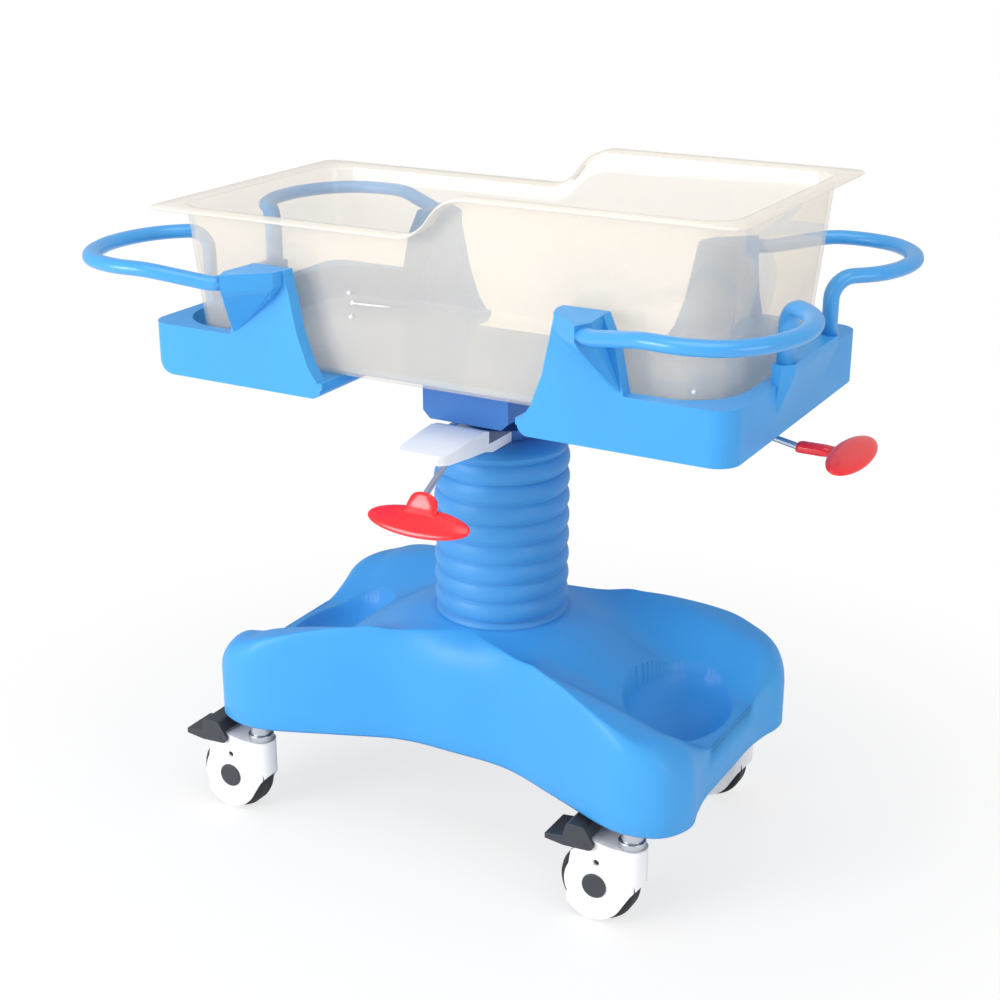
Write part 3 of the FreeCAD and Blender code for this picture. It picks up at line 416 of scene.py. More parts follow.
def swept(name, path, half_across, sides, half_up=None, start_up=Vector((0, 0, 1))):
    """Round or oval bar along a path of points, closed at both ends."""
    half_up = half_up or half_across
    last_side = Vector((1, 0, 0))
    rings = []
    for index, point in enumerate(path):
        before = path[max(index - 1, 0)]
        after = path[min(index + 1, len(path) - 1)]
        heading = (after - before).normalized()
        side = heading.cross(start_up)
        if side.length < 1e-3:
            side = last_side
        side.normalize()
        if rings and side.dot(last_side) < 0:
            side = -side
        last_side = side
        up = side.cross(heading)
        rings.append([point + side * math.cos(a) * half_across + up * math.sin(a) * half_up
                      for a in (2 * math.pi * s / sides for s in range(sides))])
    return rings_mesh(name, rings, True, True)


def filleted(points, share=0.45, steps=8):
    """Points along straight runs whose corners are tangent arcs."""
    path = [points[0]]
    for before, corner, after in zip(points, points[1:], points[2:]):
        back = (before - corner).normalized()
        onward = (after - corner).normalized()
        run = share * min((before - corner).length, (after - corner).length)
        half_turn = (math.pi - back.angle(onward)) / 2
        radius = run / math.tan(half_turn)
        centre = corner + (back + onward).normalized() * (radius / math.cos(half_turn))
        first = corner + back * run - centre
        last = corner + onward * run - centre
        for step in range(steps + 1):
            path.append(centre + first.slerp(last, step / steps).normalized() * radius)
    path.append(points[-1])
    return path


# ------------------------------------------------------------------ base cover

PLAN_QUARTER = ((0.329, 0), (0.329, 0.070), (0.334, 0.112), (0.341, 0.150), (0.322, 0.186), (0.285, 0.200),
                (0.245, 0.195), (0.165, 0.163), (0.080, 0.131), (0, 0.127))
CREST = ((0.091, 0.299), (0.120, 0.300), (0.140, 0.294), (0.200, 0.281), (0.240, 0.271), (0.260, 0.265),
         (0.285, 0.256), (0.342, 0.248))
VALLEY = ((0.091, 0.299), (0.130, 0.285), (0.170, 0.261), (0.205, 0.242), (0.250, 0.223), (0.285, 0.211),
          (0.320, 0.205), (0.342, 0.203))
VALLEY_EDGES = (0.060, 0.158)
WALL_TOP = ((0, 0.243), (0.150, 0.239), (0.230, 0.234), (0.290, 0.226), (0.322, 0.210), (0.341, 0.194))
FOOT_SHARES = (0.992, 0.986)
FOOT_HEIGHTS = (0.004, 0.028)
SHOULDER = 0.7
SHOULDER_LEAST = 0.004
SEAT = 0.091
SEAT_LIP = (0.6, 0.001)
BOWL_X = 0.256
BOWL_RAISED = 0.004
BOWL_TIP = 8
BOWL_HALVES = (0.064, 0.093, 0.046)
COVER_GRID = (420, 100)
COVER_WALL = 0.005


def smooth_read(position, table):
    """Smooth reading of a short table of (position, value)."""
    if position <= table[0][0]:
        return table[0][1]
    if position >= table[-1][0]:
        return table[-1][1]
    for i, ((p0, v0), (p1, v1)) in enumerate(zip(table, table[1:])):
        if position <= p1:
            pa, va = table[max(i - 1, 0)]
            pb, vb = table[min(i + 2, len(table) - 1)]
            m0 = (v1 - va) / (p1 - pa)
            m1 = (vb - v0) / (pb - p0)
            t = (position - p0) / (p1 - p0)
            h = p1 - p0
            return ((2 * t ** 3 - 3 * t ** 2 + 1) * v0 + (t ** 3 - 2 * t ** 2 + t) * h * m0
                    + (-2 * t ** 3 + 3 * t ** 2) * v1 + (t ** 3 - t ** 2) * h * m1)


def crown(x, y):
    """Height of the cover before its edge is rounded and its bowls are sunk."""
    rise = min(max((abs(y) - VALLEY_EDGES[0]) / (VALLEY_EDGES[1] - VALLEY_EDGES[0]), 0), 1)
    blend = rise * rise * (3 - 2 * rise)
    low = smooth_read(math.hypot(x, y), VALLEY)
    return low + (smooth_read(abs(x), CREST) - low) * blend


def bowl_floor(x, y):
    """Height of the two bowls' surface over a point, or None beside them."""
    side = 1 if x > 0 else -1
    tip = math.radians(side * BOWL_TIP)
    centre = Vector((side * BOWL_X, 0, crown(BOWL_X, 0) + BOWL_RAISED))
    a, b, c = BOWL_HALVES
    # The vertical line through the point, in the tipped bowl's own frame, is u + t * v.
    dx, dy = x - centre.x, y
    ux, uz = math.cos(tip) * dx, math.sin(tip) * dx
    vx, vz = -math.sin(tip), math.cos(tip)
    qa = vx * vx / a ** 2 + vz * vz / c ** 2
    qb = 2 * (ux * vx / a ** 2 + uz * vz / c ** 2)
    qc = ux * ux / a ** 2 + uz * uz / c ** 2 + dy * dy / b ** 2 - 1
    found = qb * qb - 4 * qa * qc
    if found < 0:
        return None
    return centre.z + (-qb - math.sqrt(found)) / (2 * qa)


def plan_points(count):
    """The plan's outline, smooth, with the points spread evenly by length."""
    half = list(PLAN_QUARTER) + [(-x, y) for x, y in PLAN_QUARTER[-2::-1]]
    ring = [Vector(p) for p in half + [(x, -y) for x, y in half[-2:0:-1]]]
    fine = []
    size = len(ring)
    for i in range(size):
        a, b, c, d = (ring[(i + k) % size] for k in (-1, 0, 1, 2))
        for step in range(16):
            t = step / 16
            fine.append(0.5 * (2 * b + (c - a) * t + (2 * a - 5 * b + 4 * c - d) * t * t
                               + (3 * b - a - 3 * c + d) * t ** 3))
    lengths = [0]
    for p, q in zip(fine, fine[1:] + fine[:1]):
        lengths.append(lengths[-1] + (q - p).length)
    points = []
    spot = 0
    for i in range(count):
        goal = lengths[-1] * i / count
        while lengths[spot + 1] < goal:
            spot += 1
        share = (goal - lengths[spot]) / (lengths[spot + 1] - lengths[spot])
        points.append(fine[spot].lerp(fine[(spot + 1) % len(fine)], share))
    return points


def cover_mesh():
    """Four lobes over the casters, a valley with a bowl towards each end, open underneath."""
    count, rows = COVER_GRID
    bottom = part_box("base_cover")[0][2]
    plan = plan_points(count)
    rings = [[Vector((p.x * FOOT_SHARES[0], p.y * FOOT_SHARES[1], bottom)) for p in plan]]
    rings += [[Vector((p.x, p.y, bottom + rise)) for p in plan] for rise in FOOT_HEIGHTS]
    soft = sizes().bowl_rim
    for row in range(rows + 1):
        share = (row / rows) ** 1.25
        ring = []
        for i, edge in enumerate(plan):
            angle = 2 * math.pi * i / count
            seat = Vector((math.cos(angle), math.sin(angle))) * SEAT
            rib = seat - edge
            p = edge + rib * share
            top = crown(p.x, p.y)
            wall = smooth_read(abs(edge.x), WALL_TOP)
            width = min(SHOULDER * (top - wall) + SHOULDER_LEAST, rib.length)
            inner = 1 - min(rib.length * share / width, 1)
            z = wall + (top - wall) * math.sqrt(1 - inner * inner)
            low = bowl_floor(p.x, p.y)
            if low is not None and low < z + soft:
                gap = max(soft - abs(z - low), 0) / soft
                z = min(z, low) - gap * gap * soft / 4
            ring.append(Vector((p.x, p.y, z)))
        rings.append(ring)
    share, drop = SEAT_LIP
    rings.append([Vector((v.x * share, v.y * share, v.z - drop)) for v in rings[-1]])
    return rings_mesh("cover_shell", rings)


class BASSINET_OT_base_cover(bpy.types.Operator):
    """Moulded base cover with its wall thickness"""
    bl_idname = "bassinet.base_cover"
    bl_label = "Base cover"

    def execute(self, context):
        piece = new_piece("cover_shell", cover_mesh(), rotomoulded_polyethylene(), "base", "base_cover")
        wall = piece.modifiers.new("wall", "SOLIDIFY")
        wall.thickness = COVER_WALL
        wall.offset = -1
        return {"FINISHED"}


# ------------------------------------------------------------------ bellows

GAITER = {"Radius": 0.087, "Depth": 0.0065, "Neck": 0.0525, "Low": 0.299, "First": 0.3065, "Dome": 0.519,
          "High": 0.541}
GAITER_WALL = 0.003
RIB_POWER = 0.5
DOME_POWER = 2.4


def gaiter_tree():
    """Rings whose radius follows the ribs up the column and then closes in a dome."""
    tree = bpy.data.node_groups.new("gaiter", "GeometryNodeTree")
    face = tree.interface
    face.new_socket("Geometry", in_out="OUTPUT", socket_type="NodeSocketGeometry")
    for name, value in {**GAITER, "Ribs": float(sizes().ribs)}.items():
        face.new_socket(name, in_out="INPUT", socket_type="NodeSocketFloat").default_value = value
    face.new_socket("Finish", in_out="INPUT", socket_type="NodeSocketMaterial")
    given = add_node(tree, "NodeGroupInput").outputs
    result = add_node(tree, "NodeGroupOutput")

    def calc(operation, *values):
        """Result of a sum on numbers and sockets."""
        node = add_node(tree, "ShaderNodeMath", operation=operation)
        for slot, value in zip(node.inputs, values):
            if isinstance(value, (int, float)):
                slot.default_value = value
            else:
                tree.links.new(value, slot)
        return node.outputs[0]

    low = add_node(tree, "ShaderNodeCombineXYZ", None, {"Z": given["Low"]})
    high = add_node(tree, "ShaderNodeCombineXYZ", None, {"Z": given["High"]})
    line = add_node(tree, "GeometryNodeCurvePrimitiveLine", None, {"Start": low.outputs[0], "End": high.outputs[0]})
    fine = add_node(tree, "GeometryNodeResampleCurve", {"Count": 260}, {"Curve": line.outputs["Curve"]})
    height = add_node(tree, "ShaderNodeSeparateXYZ", None,
                      {"Vector": add_node(tree, "GeometryNodeInputPosition").outputs[0]}).outputs["Z"]
    pitch = calc("DIVIDE", calc("SUBTRACT", given["Dome"], given["First"]), given["Ribs"])
    turns = calc("DIVIDE", calc("SUBTRACT", height, given["First"]), pitch)
    wave = calc("ABSOLUTE", calc("SINE", calc("MULTIPLY", turns, math.pi)))
    ribbed = calc("SUBTRACT", given["Radius"],
                  calc("MULTIPLY", given["Depth"], calc("SUBTRACT", 1.0, calc("POWER", wave, RIB_POWER))))
    climb = calc("MAXIMUM", calc("DIVIDE", calc("SUBTRACT", height, given["Dome"]),
                                 calc("SUBTRACT", given["High"], given["Dome"])), 0.0)
    arch = calc("SQRT", calc("MAXIMUM", calc("SUBTRACT", 1.0, calc("POWER", climb, DOME_POWER)), 0.0))
    domed = calc("ADD", given["Neck"], calc("MULTIPLY", calc("SUBTRACT", given["Radius"], given["Neck"]), arch))
    radius = calc("MINIMUM", ribbed, domed)
    shaped = add_node(tree, "GeometryNodeSetCurveRadius", None, {"Curve": fine.outputs["Curve"], "Radius": radius})
    ring = add_node(tree, "GeometryNodeCurvePrimitiveCircle", {"Resolution": 96, "Radius": 1.0})
    skin = add_node(tree, "GeometryNodeCurveToMesh", None,
                    {"Curve": shaped.outputs["Curve"], "Profile Curve": ring.outputs["Curve"]})
    if "Scale" in skin.inputs:
        tree.links.new(radius, skin.inputs["Scale"])
    real = add_node(tree, "GeometryNodeRealizeInstances", None, {"Geometry": skin.outputs["Mesh"]})
    done = add_node(tree, "GeometryNodeSetMaterial", None,
                    {"Geometry": real.outputs["Geometry"], "Material": given["Finish"]})
    tree.links.new(done.outputs["Geometry"], result.inputs["Geometry"])
    return tree


def grown(tree, name, finish):
    """Plain mesh of what a tree makes, with its finish set by the socket's identifier."""
    host = bpy.data.objects.new(name + "_host", bpy.data.meshes.new(name + "_host"))
    bpy.context.scene.collection.objects.link(host)
    maker = host.modifiers.new("maker", "NODES")
    maker.node_group = tree
    for item in tree.interface.items_tree:
        if item.in_out == "INPUT" and item.name == "Finish":
            maker[item.identifier] = finish
    ready = host.evaluated_get(bpy.context.evaluated_depsgraph_get())
    mesh = bpy.data.meshes.new_from_object(ready)
    mesh.name = name
    bpy.data.objects.remove(host)
    return mesh


class BASSINET_OT_gaiter(bpy.types.Operator):
    """Ribbed rubber bellows"""
    bl_idname = "bassinet.gaiter"
    bl_label = "Bellows"

    def execute(self, context):
        finish = gaiter_rubber()
        mesh = outward(grown(gaiter_tree(), "gaiter_skin", finish))
        piece = new_piece("gaiter_skin", mesh, finish, None, "bellows")
        wall = piece.modifiers.new("wall", "SOLIDIFY")
        wall.thickness = GAITER_WALL
        wall.offset = -1
        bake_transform(piece)
        return {"FINISHED"}


# ------------------------------------------------------------------ column, frame and head


class BASSINET_OT_column(bpy.types.Operator):
    """Frame, column, lifting head and the covers round the tilt pivot"""
    bl_idname = "bassinet.column"
    bl_label = "Column and head"

    def execute(self, context):
        paint(["base_frame", "gas_spring_cylinder"], black_powder_coat())
        zinc = zinc_plate()
        paint(["column_tube", "column_bolts", "cover_screws", "tilt_pin", "height_lever_pin", "tilt_lever_pin"], zinc)
        paint(["lift_tube", "gas_spring_rod"], hard_chrome())
        softened("lift_head", "head_casting", textured_abs(), "lift", 0.0012)
        softened("pivot_skirt", "skirt_moulding", textured_abs(), "cradle", 0.002)
        softened("lever_housing", "housing_moulding", white_nylon(), "lift", 0.0025, 3)
        softened("cradle_block", "pivot_block", zinc, "cradle", 0.001)
        softened("tilt_bracket", "bracket_pressing", zinc, "cradle", 0.0006)
        return {"FINISHED"}


# ------------------------------------------------------------------ casters

TREAD_DEPTH = 0.013
SCREW_SPOT = (-0.008, 0, 0.057)
SCREW_RADIUS = 0.0035
HOOD_SIDE = 0.02


def tread_outline(radius, half, seat):
    """Tyre's section: round shoulders and a fine mould line round the middle."""
    return [(seat, -half), (radius - 0.006, -half), (radius - 0.0035, -half + 0.0006),
            (radius - 0.0012, -half + 0.0028), (radius, -half + 0.0065), (radius, -0.0012),
            (radius - 0.0012, -0.0004), (radius - 0.0012, 0.0004), (radius, 0.0012), (radius, half - 0.0065),
            (radius - 0.0012, half - 0.0028), (radius - 0.0035, half - 0.0006), (radius - 0.006, half), (seat, half)]


def core_outline(rim, half):
    """Wheel's section: hub boss, dished disc and rim on both sides."""
    return [(0.0061, -half - 0.0013), (0.0115, -half - 0.0013), (0.012, -half + 0.006), (0.014, -half + 0.008),
            (rim - 0.005, -half + 0.008), (rim - 0.004, -half + 0.002), (rim - 0.003, -half + 0.001),
            (rim, -half + 0.001), (rim, half - 0.001), (rim - 0.003, half - 0.001), (rim - 0.004, half - 0.002),
            (rim - 0.005, half - 0.008), (0.014, half - 0.008), (0.012, half - 0.006), (0.0115, half + 0.0013),
            (0.0061, half + 0.0013)]


class BASSINET_OT_casters(bpy.types.Operator):
    """Four swivel casters with hooded wheels and brake pedals"""
    bl_idname = "bassinet.casters"
    bl_label = "Casters"

    def execute(self, context):
        white, grey, tread, zinc = white_nylon(), grey_nylon(), polyurethane_tread(), zinc_plate()
        for number in range(1, 5):
            low, high = (Vector(corner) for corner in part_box("caster_tyre_%d" % number))
            centre = (low + high) / 2
            radius = (high.z - low.z) / 2
            half = (high.y - low.y) / 2
            seat = radius - TREAD_DEPTH
            tyre = lathe("tread_%d" % number, tread_outline(radius, half, seat), centre, "Y", 96)
            new_piece("tread_%d" % number, tyre, tread, "wheel_%d" % number, "caster_tyre_%d" % number)
            hub = lathe("wheel_core_%d" % number, core_outline(seat - 0.0001, half), centre, "Y", 72)
            new_piece("wheel_core_%d" % number, hub, white, "wheel_%d" % number, "caster_wheel_%d" % number)
            hood = softened("caster_hood_%d" % number, "hood_%d" % number, white, "caster_%d" % number, 0.0012)
            hood.data.materials.append(grey)
            screw = centre + Vector(SCREW_SPOT)
            for face in hood.data.polygons:
                spot = Vector(face.center) - screw
                if Vector((spot.x, spot.z)).length < SCREW_RADIUS and abs(spot.y) > HOOD_SIDE:
                    face.material_index = 1
            softened("caster_axle_%d" % number, "axle_cap_%d" % number, grey, "caster_%d" % number, 0.0006)
            softened("brake_pedal_%d" % number, "pedal_%d" % number, grey, "pedal_%d" % number, 0.0009)
            softened("caster_stem_%d" % number, "swivel_%d" % number, zinc, "base", 0.0005)
        return {"FINISHED"}


# ------------------------------------------------------------------ cradle

PLATE_REACH = 0.131
PLATE_HALF = 0.125
PLATE_BAND = (0.60, 0.645)
SLAB_UNDER = 0.741
SLAB_LIFT = 0.0052
SLAB_FROM_Y = 0.190
WALL_Y = 0.204
GUSSET_TIP = (0.6805, 0.6815)


def slimmer_slab(spot):
    """Lifts the underside of a wing's slab and draws the gusset's lowest tip in to the wall."""
    if abs(spot.z - SLAB_UNDER) < 1e-4 and abs(spot.y) > SLAB_FROM_Y:
        spot.z += SLAB_LIFT
    elif GUSSET_TIP[0] < spot.z < GUSSET_TIP[1] and abs(spot.y) > WALL_Y:
        spot.y = math.copysign(WALL_Y, spot.y)


class BASSINET_OT_cradle(bpy.types.Operator):
    """Cradle tray with its wings"""
    bl_idname = "bassinet.cradle"
    bl_label = "Cradle"

    def execute(self, context):
        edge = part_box("cradle_tray")[1].y
        low, high = PLATE_BAND
        strips = [((-PLATE_REACH, PLATE_HALF, low), (PLATE_REACH, edge, high)),
                  ((-PLATE_REACH, -edge, low), (PLATE_REACH, -PLATE_HALF, high))]
        piece = softened("cradle_tray", "cradle_moulding", moulded_abs(), "cradle", sizes().edge, 3, strips,
                         slimmer_slab)
        return {"FINISHED"}


HANDLE_PLAN = ((0.236, 0.249), (0.3205, 0.2855), (0.3605, 0.2905), (0.4045, 0.2795), (0.4385, 0.2435),
               (0.4545, 0.1945), (0.4525, 0.150), (0.4375, 0.110), (0.396, 0.070))
HANDLE_HEADING = (0.914, 0.406)
HANDLE_HEIGHT = 0.767
HANDLE_DIP = 0.0145
HANDLE_ROOT = 0.016
HANDLE_HALVES = (0.0115, 0.0088)
POST_FOOT = 0.700


class BASSINET_OT_handles(bpy.types.Operator):
    """Four bent tube handles round the corners of the cradle"""
    bl_idname = "bassinet.handles"
    bl_label = "Handles"

    def execute(self, context):
        finish = coated_tube()
        for number, (side_x, side_y) in enumerate(CORNERS, 1):
            points = [Vector((side_x * x, side_y * y, HANDLE_HEIGHT)) for x, y in HANDLE_PLAN]
            points[0].z -= HANDLE_DIP
            heading = Vector((side_x * HANDLE_HEADING[0], side_y * HANDLE_HEADING[1], 0))
            points.insert(1, points[0] + heading * HANDLE_ROOT)
            points.append(Vector((side_x * HANDLE_PLAN[-1][0], side_y * HANDLE_PLAN[-1][1], POST_FOOT)))
            mesh = swept("handle_tube_%d" % number, filleted(points), HANDLE_HALVES[0], sizes().sides,
                         HANDLE_HALVES[1])
            new_piece("handle_tube_%d" % number, mesh, finish, "cradle", "corner_handle_%d" % number)
        return {"FINISHED"}


# ------------------------------------------------------------------ levers

GRIP_HALVES = (0.0215, 0.0705, 0.006)
GRIP_SLICES = 18
GRIP_CROWN = 0.62
HEIGHT_PIVOT = (0, -0.105, 0.553)
HEIGHT_ROD_END, HEIGHT_GRIP, HEIGHT_DIP = (0.081, -0.042), (0.098, -0.071), 34.8
HEIGHT_NECK = ((0, 0.006, 0.004), (0.02, 0.011, 0.006), (0.08, 0.0155, 0.0068), (0.2, 0.0185, 0.007),
               (0.5, 0.021, 0.0062), (1, 0.023, 0.0045))
TILT_PIVOT = (0.290, 0, 0.602)
TILT_ROD_END, TILT_GRIP, TILT_DIP = (0.100, -0.020), (0.166, -0.020), 17.8
TILT_NECK = ((0, 0.0045, 0.0045), (0.03, 0.0072, 0.0064), (0.1, 0.0085, 0.007), (0.6, 0.009, 0.007),
             (1, 0.0105, 0.0048))


def superellipse(half_across, half_up, power, count):
    """Points of a flattened round section."""
    found = []
    for step in range(count):
        angle = 2 * math.pi * step / count
        c, s = math.cos(angle), math.sin(angle)
        found.append((half_across * math.copysign(abs(c) ** (2 / power), c),
                      half_up * math.copysign(abs(s) ** (2 / power), s)))
    return found


def grip_mesh(name, place, rod_end, grip, dip, neck):
    """Crowned oval grip and its neck, drawn along +X from the lever's pivot."""
    tip = place @ Matrix.Translation((grip[0], 0, grip[1])) @ Matrix.Rotation(math.radians(dip), 4, "Y")
    half_x, half_y, half_z = GRIP_HALVES
    rings = []
    for step in range(1, GRIP_SLICES):
        angle = math.pi * step / GRIP_SLICES - math.pi / 2
        spread = math.cos(angle) ** GRIP_CROWN
        rings.append([tip @ Vector((x, y, half_z * math.sin(angle)))
                      for x, y in superellipse(half_x * spread, half_y * spread, 2, 56)])
    oval = rings_mesh(name + "_oval", rings, True, True)
    start = Vector((rod_end[0], 0, rod_end[1]))
    end = start.lerp(Vector((grip[0], 0, grip[1])), 0.8)
    along = Vector((rod_end[0], 0, rod_end[1])).normalized()
    up = Vector((-along.z, 0, along.x))
    rings = []
    for share, half_across, half_up in neck:
        centre = start.lerp(end, share)
        rings.append([place @ (centre + Vector((0, 1, 0)) * u + up * v)
                      for u, v in superellipse(half_across, half_up, 2.4, 32)])
    return joined(name, oval, rings_mesh(name + "_neck", rings, True, True))


class BASSINET_OT_levers(bpy.types.Operator):
    """Height lever and tilt lever with red paddles"""
    bl_idname = "bassinet.levers"
    bl_label = "Levers"

    def execute(self, context):
        red, zinc = dipped_pvc(), zinc_plate()
        place = Matrix.Translation(HEIGHT_PIVOT) @ Matrix.Rotation(math.radians(-90), 4, "Z")
        mesh = grip_mesh("height_grip", place, HEIGHT_ROD_END, HEIGHT_GRIP, HEIGHT_DIP, HEIGHT_NECK)
        new_piece("height_grip", mesh, red, "height_lever", "height_paddle")
        place = Matrix.Translation(TILT_PIVOT)
        mesh = grip_mesh("tilt_grip", place, TILT_ROD_END, TILT_GRIP, TILT_DIP, TILT_NECK)
        new_piece("tilt_grip", mesh, red, "tilt_lever", "tilt_paddle")
        softened("height_lever_rod", "height_rod", zinc, "height_lever", 0.0005)
        softened("tilt_lever_rod", "tilt_rod", zinc, "tilt_lever", 0.0005)
        return {"FINISHED"}


# ------------------------------------------------------------------ clear tub

RIM_LOW, RIM_HIGH = 0.820, 0.870
STEP_FROM, STEP_TO = -0.030, 0.060
TUB_BOTTOM = 0.6333
TUB_WALL = 0.004
TUB_FOOT = (0.346, 0.167)
TUB_MOUTH = (0.368, 0.177)
TUB_CORNER = 0.040
TUB_ROUND_OUT, TUB_ROUND_IN = 0.010, 0.006
ROUND_STEPS = 6
WALL_ROWS = 12
UNDER_RIM = 0.010
FLANGE_CORNER = 0.018
FLANGE = 0.021
CORNER_STEPS = 10
END_STEPS, SIDE_STEPS = 24, 88
LIP_BAND = 0.006
# Small studs and a card bar on the near wall. They are white so that they show as the bright glints there: a painted
# highlight on small fixings.
STUD_SPOTS = ((-0.110, 0.7395), (-0.106, 0.728), (-0.109, 0.7106), (0.330, 0.683))
STUD_OUTLINE = ((0.0001, 0.0004), (0.0026, 0.0002), (0.0022, -0.0012), (0.0012, -0.002), (0.0001, -0.0022))
CARD_BAR = ((-0.106, -0.1722, 0.728), (-0.080, -0.1722, 0.7285), (-0.053, -0.1722, 0.7297))


def rim_height(x):
    """The rim's line: low, an S of two arcs, high."""
    length, rise = STEP_TO - STEP_FROM, RIM_HIGH - RIM_LOW
    radius = (length ** 2 + rise ** 2) / (4 * rise)
    if x <= STEP_FROM:
        return RIM_LOW
    if x >= STEP_TO:
        return RIM_HIGH
    if x <= (STEP_FROM + STEP_TO) / 2:
        return RIM_LOW + radius - math.sqrt(radius ** 2 - (x - STEP_FROM) ** 2)
    return RIM_HIGH - radius + math.sqrt(radius ** 2 - (STEP_TO - x) ** 2)


def rounded_plan(half_x, half_y, radius):
    """Points and outward directions round a rectangle with round corners, the same number for any size."""
    found = []
    signs = ((1, -1), (1, 1), (-1, 1), (-1, -1))
    for quarter, (sign_x, sign_y) in enumerate(signs):
        next_x, next_y = signs[(quarter + 1) % 4]
        start = math.pi / 2 * quarter - math.pi / 2
        for step in range(CORNER_STEPS + 1):
            angle = start + math.pi / 2 * step / CORNER_STEPS
            way = Vector((math.cos(angle), math.sin(angle)))
            found.append((Vector((sign_x * (half_x - radius), sign_y * (half_y - radius))) + way * radius, way))
        run = END_STEPS if quarter in (0, 2) else SIDE_STEPS
        a = found[-1][0]
        b = Vector((next_x * (half_x - radius), next_y * (half_y - radius))) + way * radius
        found += [(a.lerp(b, step / run), way) for step in range(1, run)]
    return found


def tub_mesh():
    """Closed shell: floor, drafted walls, a flange that follows the stepped rim, and the inner skin."""
    foot = rounded_plan(*TUB_FOOT, TUB_CORNER)
    mouth = rounded_plan(*TUB_MOUTH, TUB_CORNER)
    lip = rounded_plan(TUB_MOUTH[0] + FLANGE, TUB_MOUTH[1] + FLANGE, FLANGE_CORNER)

    def on_wall(a, b, z):
        return a.lerp(b, (z - TUB_BOTTOM) / (RIM_HIGH - TUB_BOTTOM))

    def floor_ring(base, bend, inset, step):
        """Row of the rounding between the floor and a wall."""
        angle = math.pi / 2 * step / ROUND_STEPS
        z = base + bend * (1 - math.cos(angle))
        back = inset + bend * (1 - math.sin(angle))
        return [Vector((*(on_wall(a, b, z) - way * back), z)) for (a, way), (b, _) in zip(foot, mouth)]

    def wall_ring(base, inset, step):
        """Row of a wall, at the same share of its height all round."""
        ring = []
        for (a, way), (b, _) in zip(foot, mouth):
            z = base + (rim_height(a.x) - UNDER_RIM - base) * step / WALL_ROWS
            ring.append(Vector((*(on_wall(a, b, z) - way * inset), z)))
        return ring

    def rim_ring(out, drop):
        """Row that follows the rim, moved out of the wall and down."""
        ring = []
        for (a, way), (b, _) in zip(foot, mouth):
            p = on_wall(a, b, rim_height(a.x) - drop) + way * out
            ring.append(Vector((*p, rim_height(p.x) - drop)))
        return ring

    floor = TUB_BOTTOM + TUB_WALL
    rings = [floor_ring(TUB_BOTTOM, TUB_ROUND_OUT, 0, step) for step in range(ROUND_STEPS + 1)]
    rings += [wall_ring(TUB_BOTTOM + TUB_ROUND_OUT, 0, step) for step in range(1, WALL_ROWS)]
    rings += [rim_ring(out, drop) for out, drop in ((0, 0.0075), (0.0015, 0.005), (0.004, 0.004))]
    rings += [[Vector((*(p - way * inset), rim_height(p.x) - drop)) for p, way in lip]
              for inset, drop in ((0.0015, 0.004), (0, 0.0028), (0, 0.0012), (0.0015, 0))]
    rings += [rim_ring(out, drop) for out, drop in ((0.002, 0), (-TUB_WALL + 0.001, 0.0006), (-TUB_WALL, 0.003))]
    rings += [wall_ring(floor + TUB_ROUND_IN, TUB_WALL, step) for step in range(WALL_ROWS - 1, 0, -1)]
    rings += [floor_ring(floor, TUB_ROUND_IN, TUB_WALL, step) for step in range(ROUND_STEPS, -1, -1)]
    return rings_mesh("tub_shell", rings, True, True)


class BASSINET_OT_tub(bpy.types.Operator):
    """Clear tub with its stepped rim"""
    bl_idname = "bassinet.tub"
    bl_label = "Clear tub"

    def execute(self, context):
        piece = new_piece("tub_shell", tub_mesh(), clear_acrylic(), "tub_body", "tub")
        piece.data.materials.append(clear_acrylic("frosted_acrylic", 0.5))
        beyond_x, beyond_y = (half + 0.001 for half in TUB_MOUTH)
        for face in piece.data.polygons:
            x, y, z = face.center
            on_lip = max(abs(x) - beyond_x, abs(y) - beyond_y) > 0 and z > rim_height(x) - LIP_BAND
            face.material_index = 1 if on_lip else 0
        # White studs and bar: their white is a painted highlight, standing for the glints on small fixings of the
        # wall.
        studs = []
        for x, z in STUD_SPOTS:
            share = (z - TUB_BOTTOM) / (RIM_HIGH - TUB_BOTTOM)
            wall = -TUB_FOOT[1] - (TUB_MOUTH[1] - TUB_FOOT[1]) * share
            studs.append(lathe("stud", STUD_OUTLINE, (x, wall, z), "Y", 20))
        studs.append(swept("card_bar", [Vector(spot) for spot in CARD_BAR], 0.0009, 10))
        new_piece("studs_with_painted_glint", joined("studs_with_painted_glint", *studs), white_nylon(), "tub_body")
        return {"FINISHED"}


# ------------------------------------------------------------------ stage

SENSOR_WIDTH, LENS = 36, 62.416
CAMERA_SPOT = (1.01952, -1.82073, 1.22609)
CAMERA_PITCH, CAMERA_AZIMUTH = 20.546, 29.317
FLOOR_RADIUS, FLOOR_SIDES = 14, 64
SOFTBOXES = (("softbox_left", (-1.6, -2.8, 1.4), 1.8, 68), ("softbox_top", (0.2, -0.6, 3.2), 2.2, 26),
             ("softbox_right", (2.6, -0.8, 1.2), 1.4, 14))
LIT_SPOT = Vector((0, 0, 0.45))


def seen_directly(tree):
    """1 where the camera looks straight or through a clear piece, 0 for light that only bounces."""
    ray = add_node(tree, "ShaderNodeLightPath")
    return add_node(tree, "ShaderNodeMath", None,
                    {0: ray.outputs["Is Camera Ray"], 1: ray.outputs["Is Transmission Ray"]},
                    operation="MAXIMUM").outputs[0]


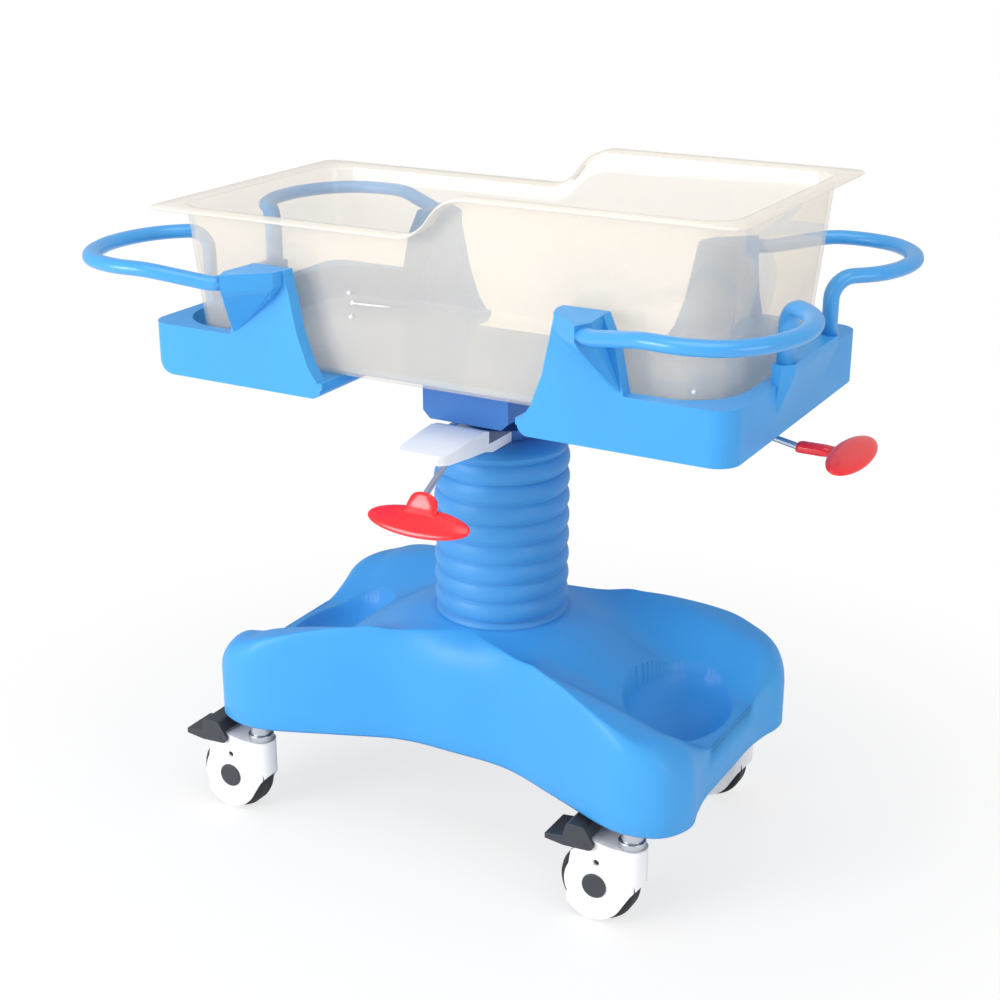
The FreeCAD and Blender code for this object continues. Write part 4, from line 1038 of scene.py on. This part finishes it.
def floor_paint():
    """Pale studio floor that keeps the shadow near the object and fades to plain white round it."""
    material, tree, place, output = start_material("studio_floor")
    spread = add_node(tree, "ShaderNodeVectorMath", None, {0: place}, operation="LENGTH")
    fade = add_node(tree, "ShaderNodeMapRange", {"From Min": 0.4, "From Max": 1.1, "To Min": 0.72},
                    {"Value": spread.outputs["Value"]}, interpolation_type="SMOOTHSTEP")
    matt = add_node(tree, "ShaderNodeBsdfDiffuse", {"Color": (0.93, 0.93, 0.93, 1)})
    glow = add_node(tree, "ShaderNodeEmission", {"Color": (1, 1, 1, 1), "Strength": 1.0})
    both = add_node(tree, "ShaderNodeMath", None, {0: seen_directly(tree), 1: fade.outputs["Result"]},
                    operation="MULTIPLY")
    mix = add_node(tree, "ShaderNodeMixShader", None, {"Fac": both.outputs[0]})
    tree.links.new(matt.outputs["BSDF"], mix.inputs[1])
    tree.links.new(glow.outputs["Emission"], mix.inputs[2])
    tree.links.new(mix.outputs["Shader"], output.inputs["Surface"])
    return material


class BASSINET_OT_camera(bpy.types.Operator):
    """Camera at the viewing angle"""
    bl_idname = "bassinet.camera"
    bl_label = "Camera"

    def execute(self, context):
        lens = bpy.data.cameras.new("camera")
        lens.sensor_width = SENSOR_WIDTH
        lens.lens = LENS
        camera = bpy.data.objects.new("camera", lens)
        camera.location = CAMERA_SPOT
        camera.rotation_euler = (math.radians(90 - CAMERA_PITCH), 0, math.radians(CAMERA_AZIMUTH))
        context.scene.collection.objects.link(camera)
        context.scene.camera = camera
        return {"FINISHED"}


class BASSINET_OT_stage(bpy.types.Operator):
    """Floor, soft lights and a white surrounding"""
    bl_idname = "bassinet.stage"
    bl_label = "Stage"

    def execute(self, context):
        scene = context.scene
        disc = [Vector((FLOOR_RADIUS * math.cos(a), FLOOR_RADIUS * math.sin(a), 0))
                for a in (2 * math.pi * s / FLOOR_SIDES for s in range(FLOOR_SIDES))]
        floor = bpy.data.objects.new("studio_floor", mesh_from("studio_floor", disc, [tuple(range(FLOOR_SIDES))]))
        floor.data.materials.append(floor_paint())
        scene.collection.objects.link(floor)
        world = scene.world or bpy.data.worlds.new("studio")
        scene.world = world
        world.use_nodes = True
        tree = world.node_tree
        tree.nodes.clear()
        level = add_node(tree, "ShaderNodeMapRange", {"To Min": 0.56, "To Max": 1.0}, {"Value": seen_directly(tree)})
        glow = add_node(tree, "ShaderNodeBackground", {"Color": (1, 1, 1, 1)}, {"Strength": level.outputs["Result"]})
        output = add_node(tree, "ShaderNodeOutputWorld", None, {"Surface": glow.outputs["Background"]})
        output.is_active_output = True
        for name, place, size, power in SOFTBOXES:
            lamp = bpy.data.lights.new(name, "AREA")
            lamp.shape = "DISK"
            lamp.size = size
            lamp.energy = power
            box = bpy.data.objects.new(name, lamp)
            box.location = place
            box.rotation_euler = (LIT_SPOT - Vector(place)).to_track_quat("-Z", "Y").to_euler()
            scene.collection.objects.link(box)
        scene.view_settings.view_transform = "Standard"
        return {"FINISHED"}


# ------------------------------------------------------------------ panel and run

STEPS = (BASSINET_OT_camera, BASSINET_OT_base_cover, BASSINET_OT_gaiter, BASSINET_OT_column, BASSINET_OT_casters,
         BASSINET_OT_cradle, BASSINET_OT_handles, BASSINET_OT_levers, BASSINET_OT_tub, BASSINET_OT_stage)


class BASSINET_PT_panel(bpy.types.Panel):
    """Colours, sizes and the steps that make the pieces"""
    bl_label = "Bassinet"
    bl_idname = "BASSINET_PT_panel"
    bl_space_type = "VIEW_3D"
    bl_region_type = "UI"
    bl_category = "Bassinet"

    def draw(self, context):
        for values in (colours(), sizes()):
            for name in values.__annotations__:
                self.layout.prop(values, name)
        for step in STEPS:
            self.layout.operator(step.bl_idname)


CLASSES = (BassinetColours, BassinetSizes) + STEPS + (BASSINET_PT_panel,)


def register():
    for item in CLASSES:
        bpy.utils.register_class(item)
    bpy.types.Scene.bassinet_colours = bpy.props.PointerProperty(type=BassinetColours)
    bpy.types.Scene.bassinet_sizes = bpy.props.PointerProperty(type=BassinetSizes)


def unregister():
    del bpy.types.Scene.bassinet_sizes
    del bpy.types.Scene.bassinet_colours
    for item in reversed(CLASSES):
        bpy.utils.unregister_class(item)


def main():
    """Registers the classes and runs every step."""
    register()
    for step in STEPS:
        group, name = step.bl_idname.split(".")
        getattr(getattr(bpy.ops, group), name)()


if __name__ == "__main__":
    main()
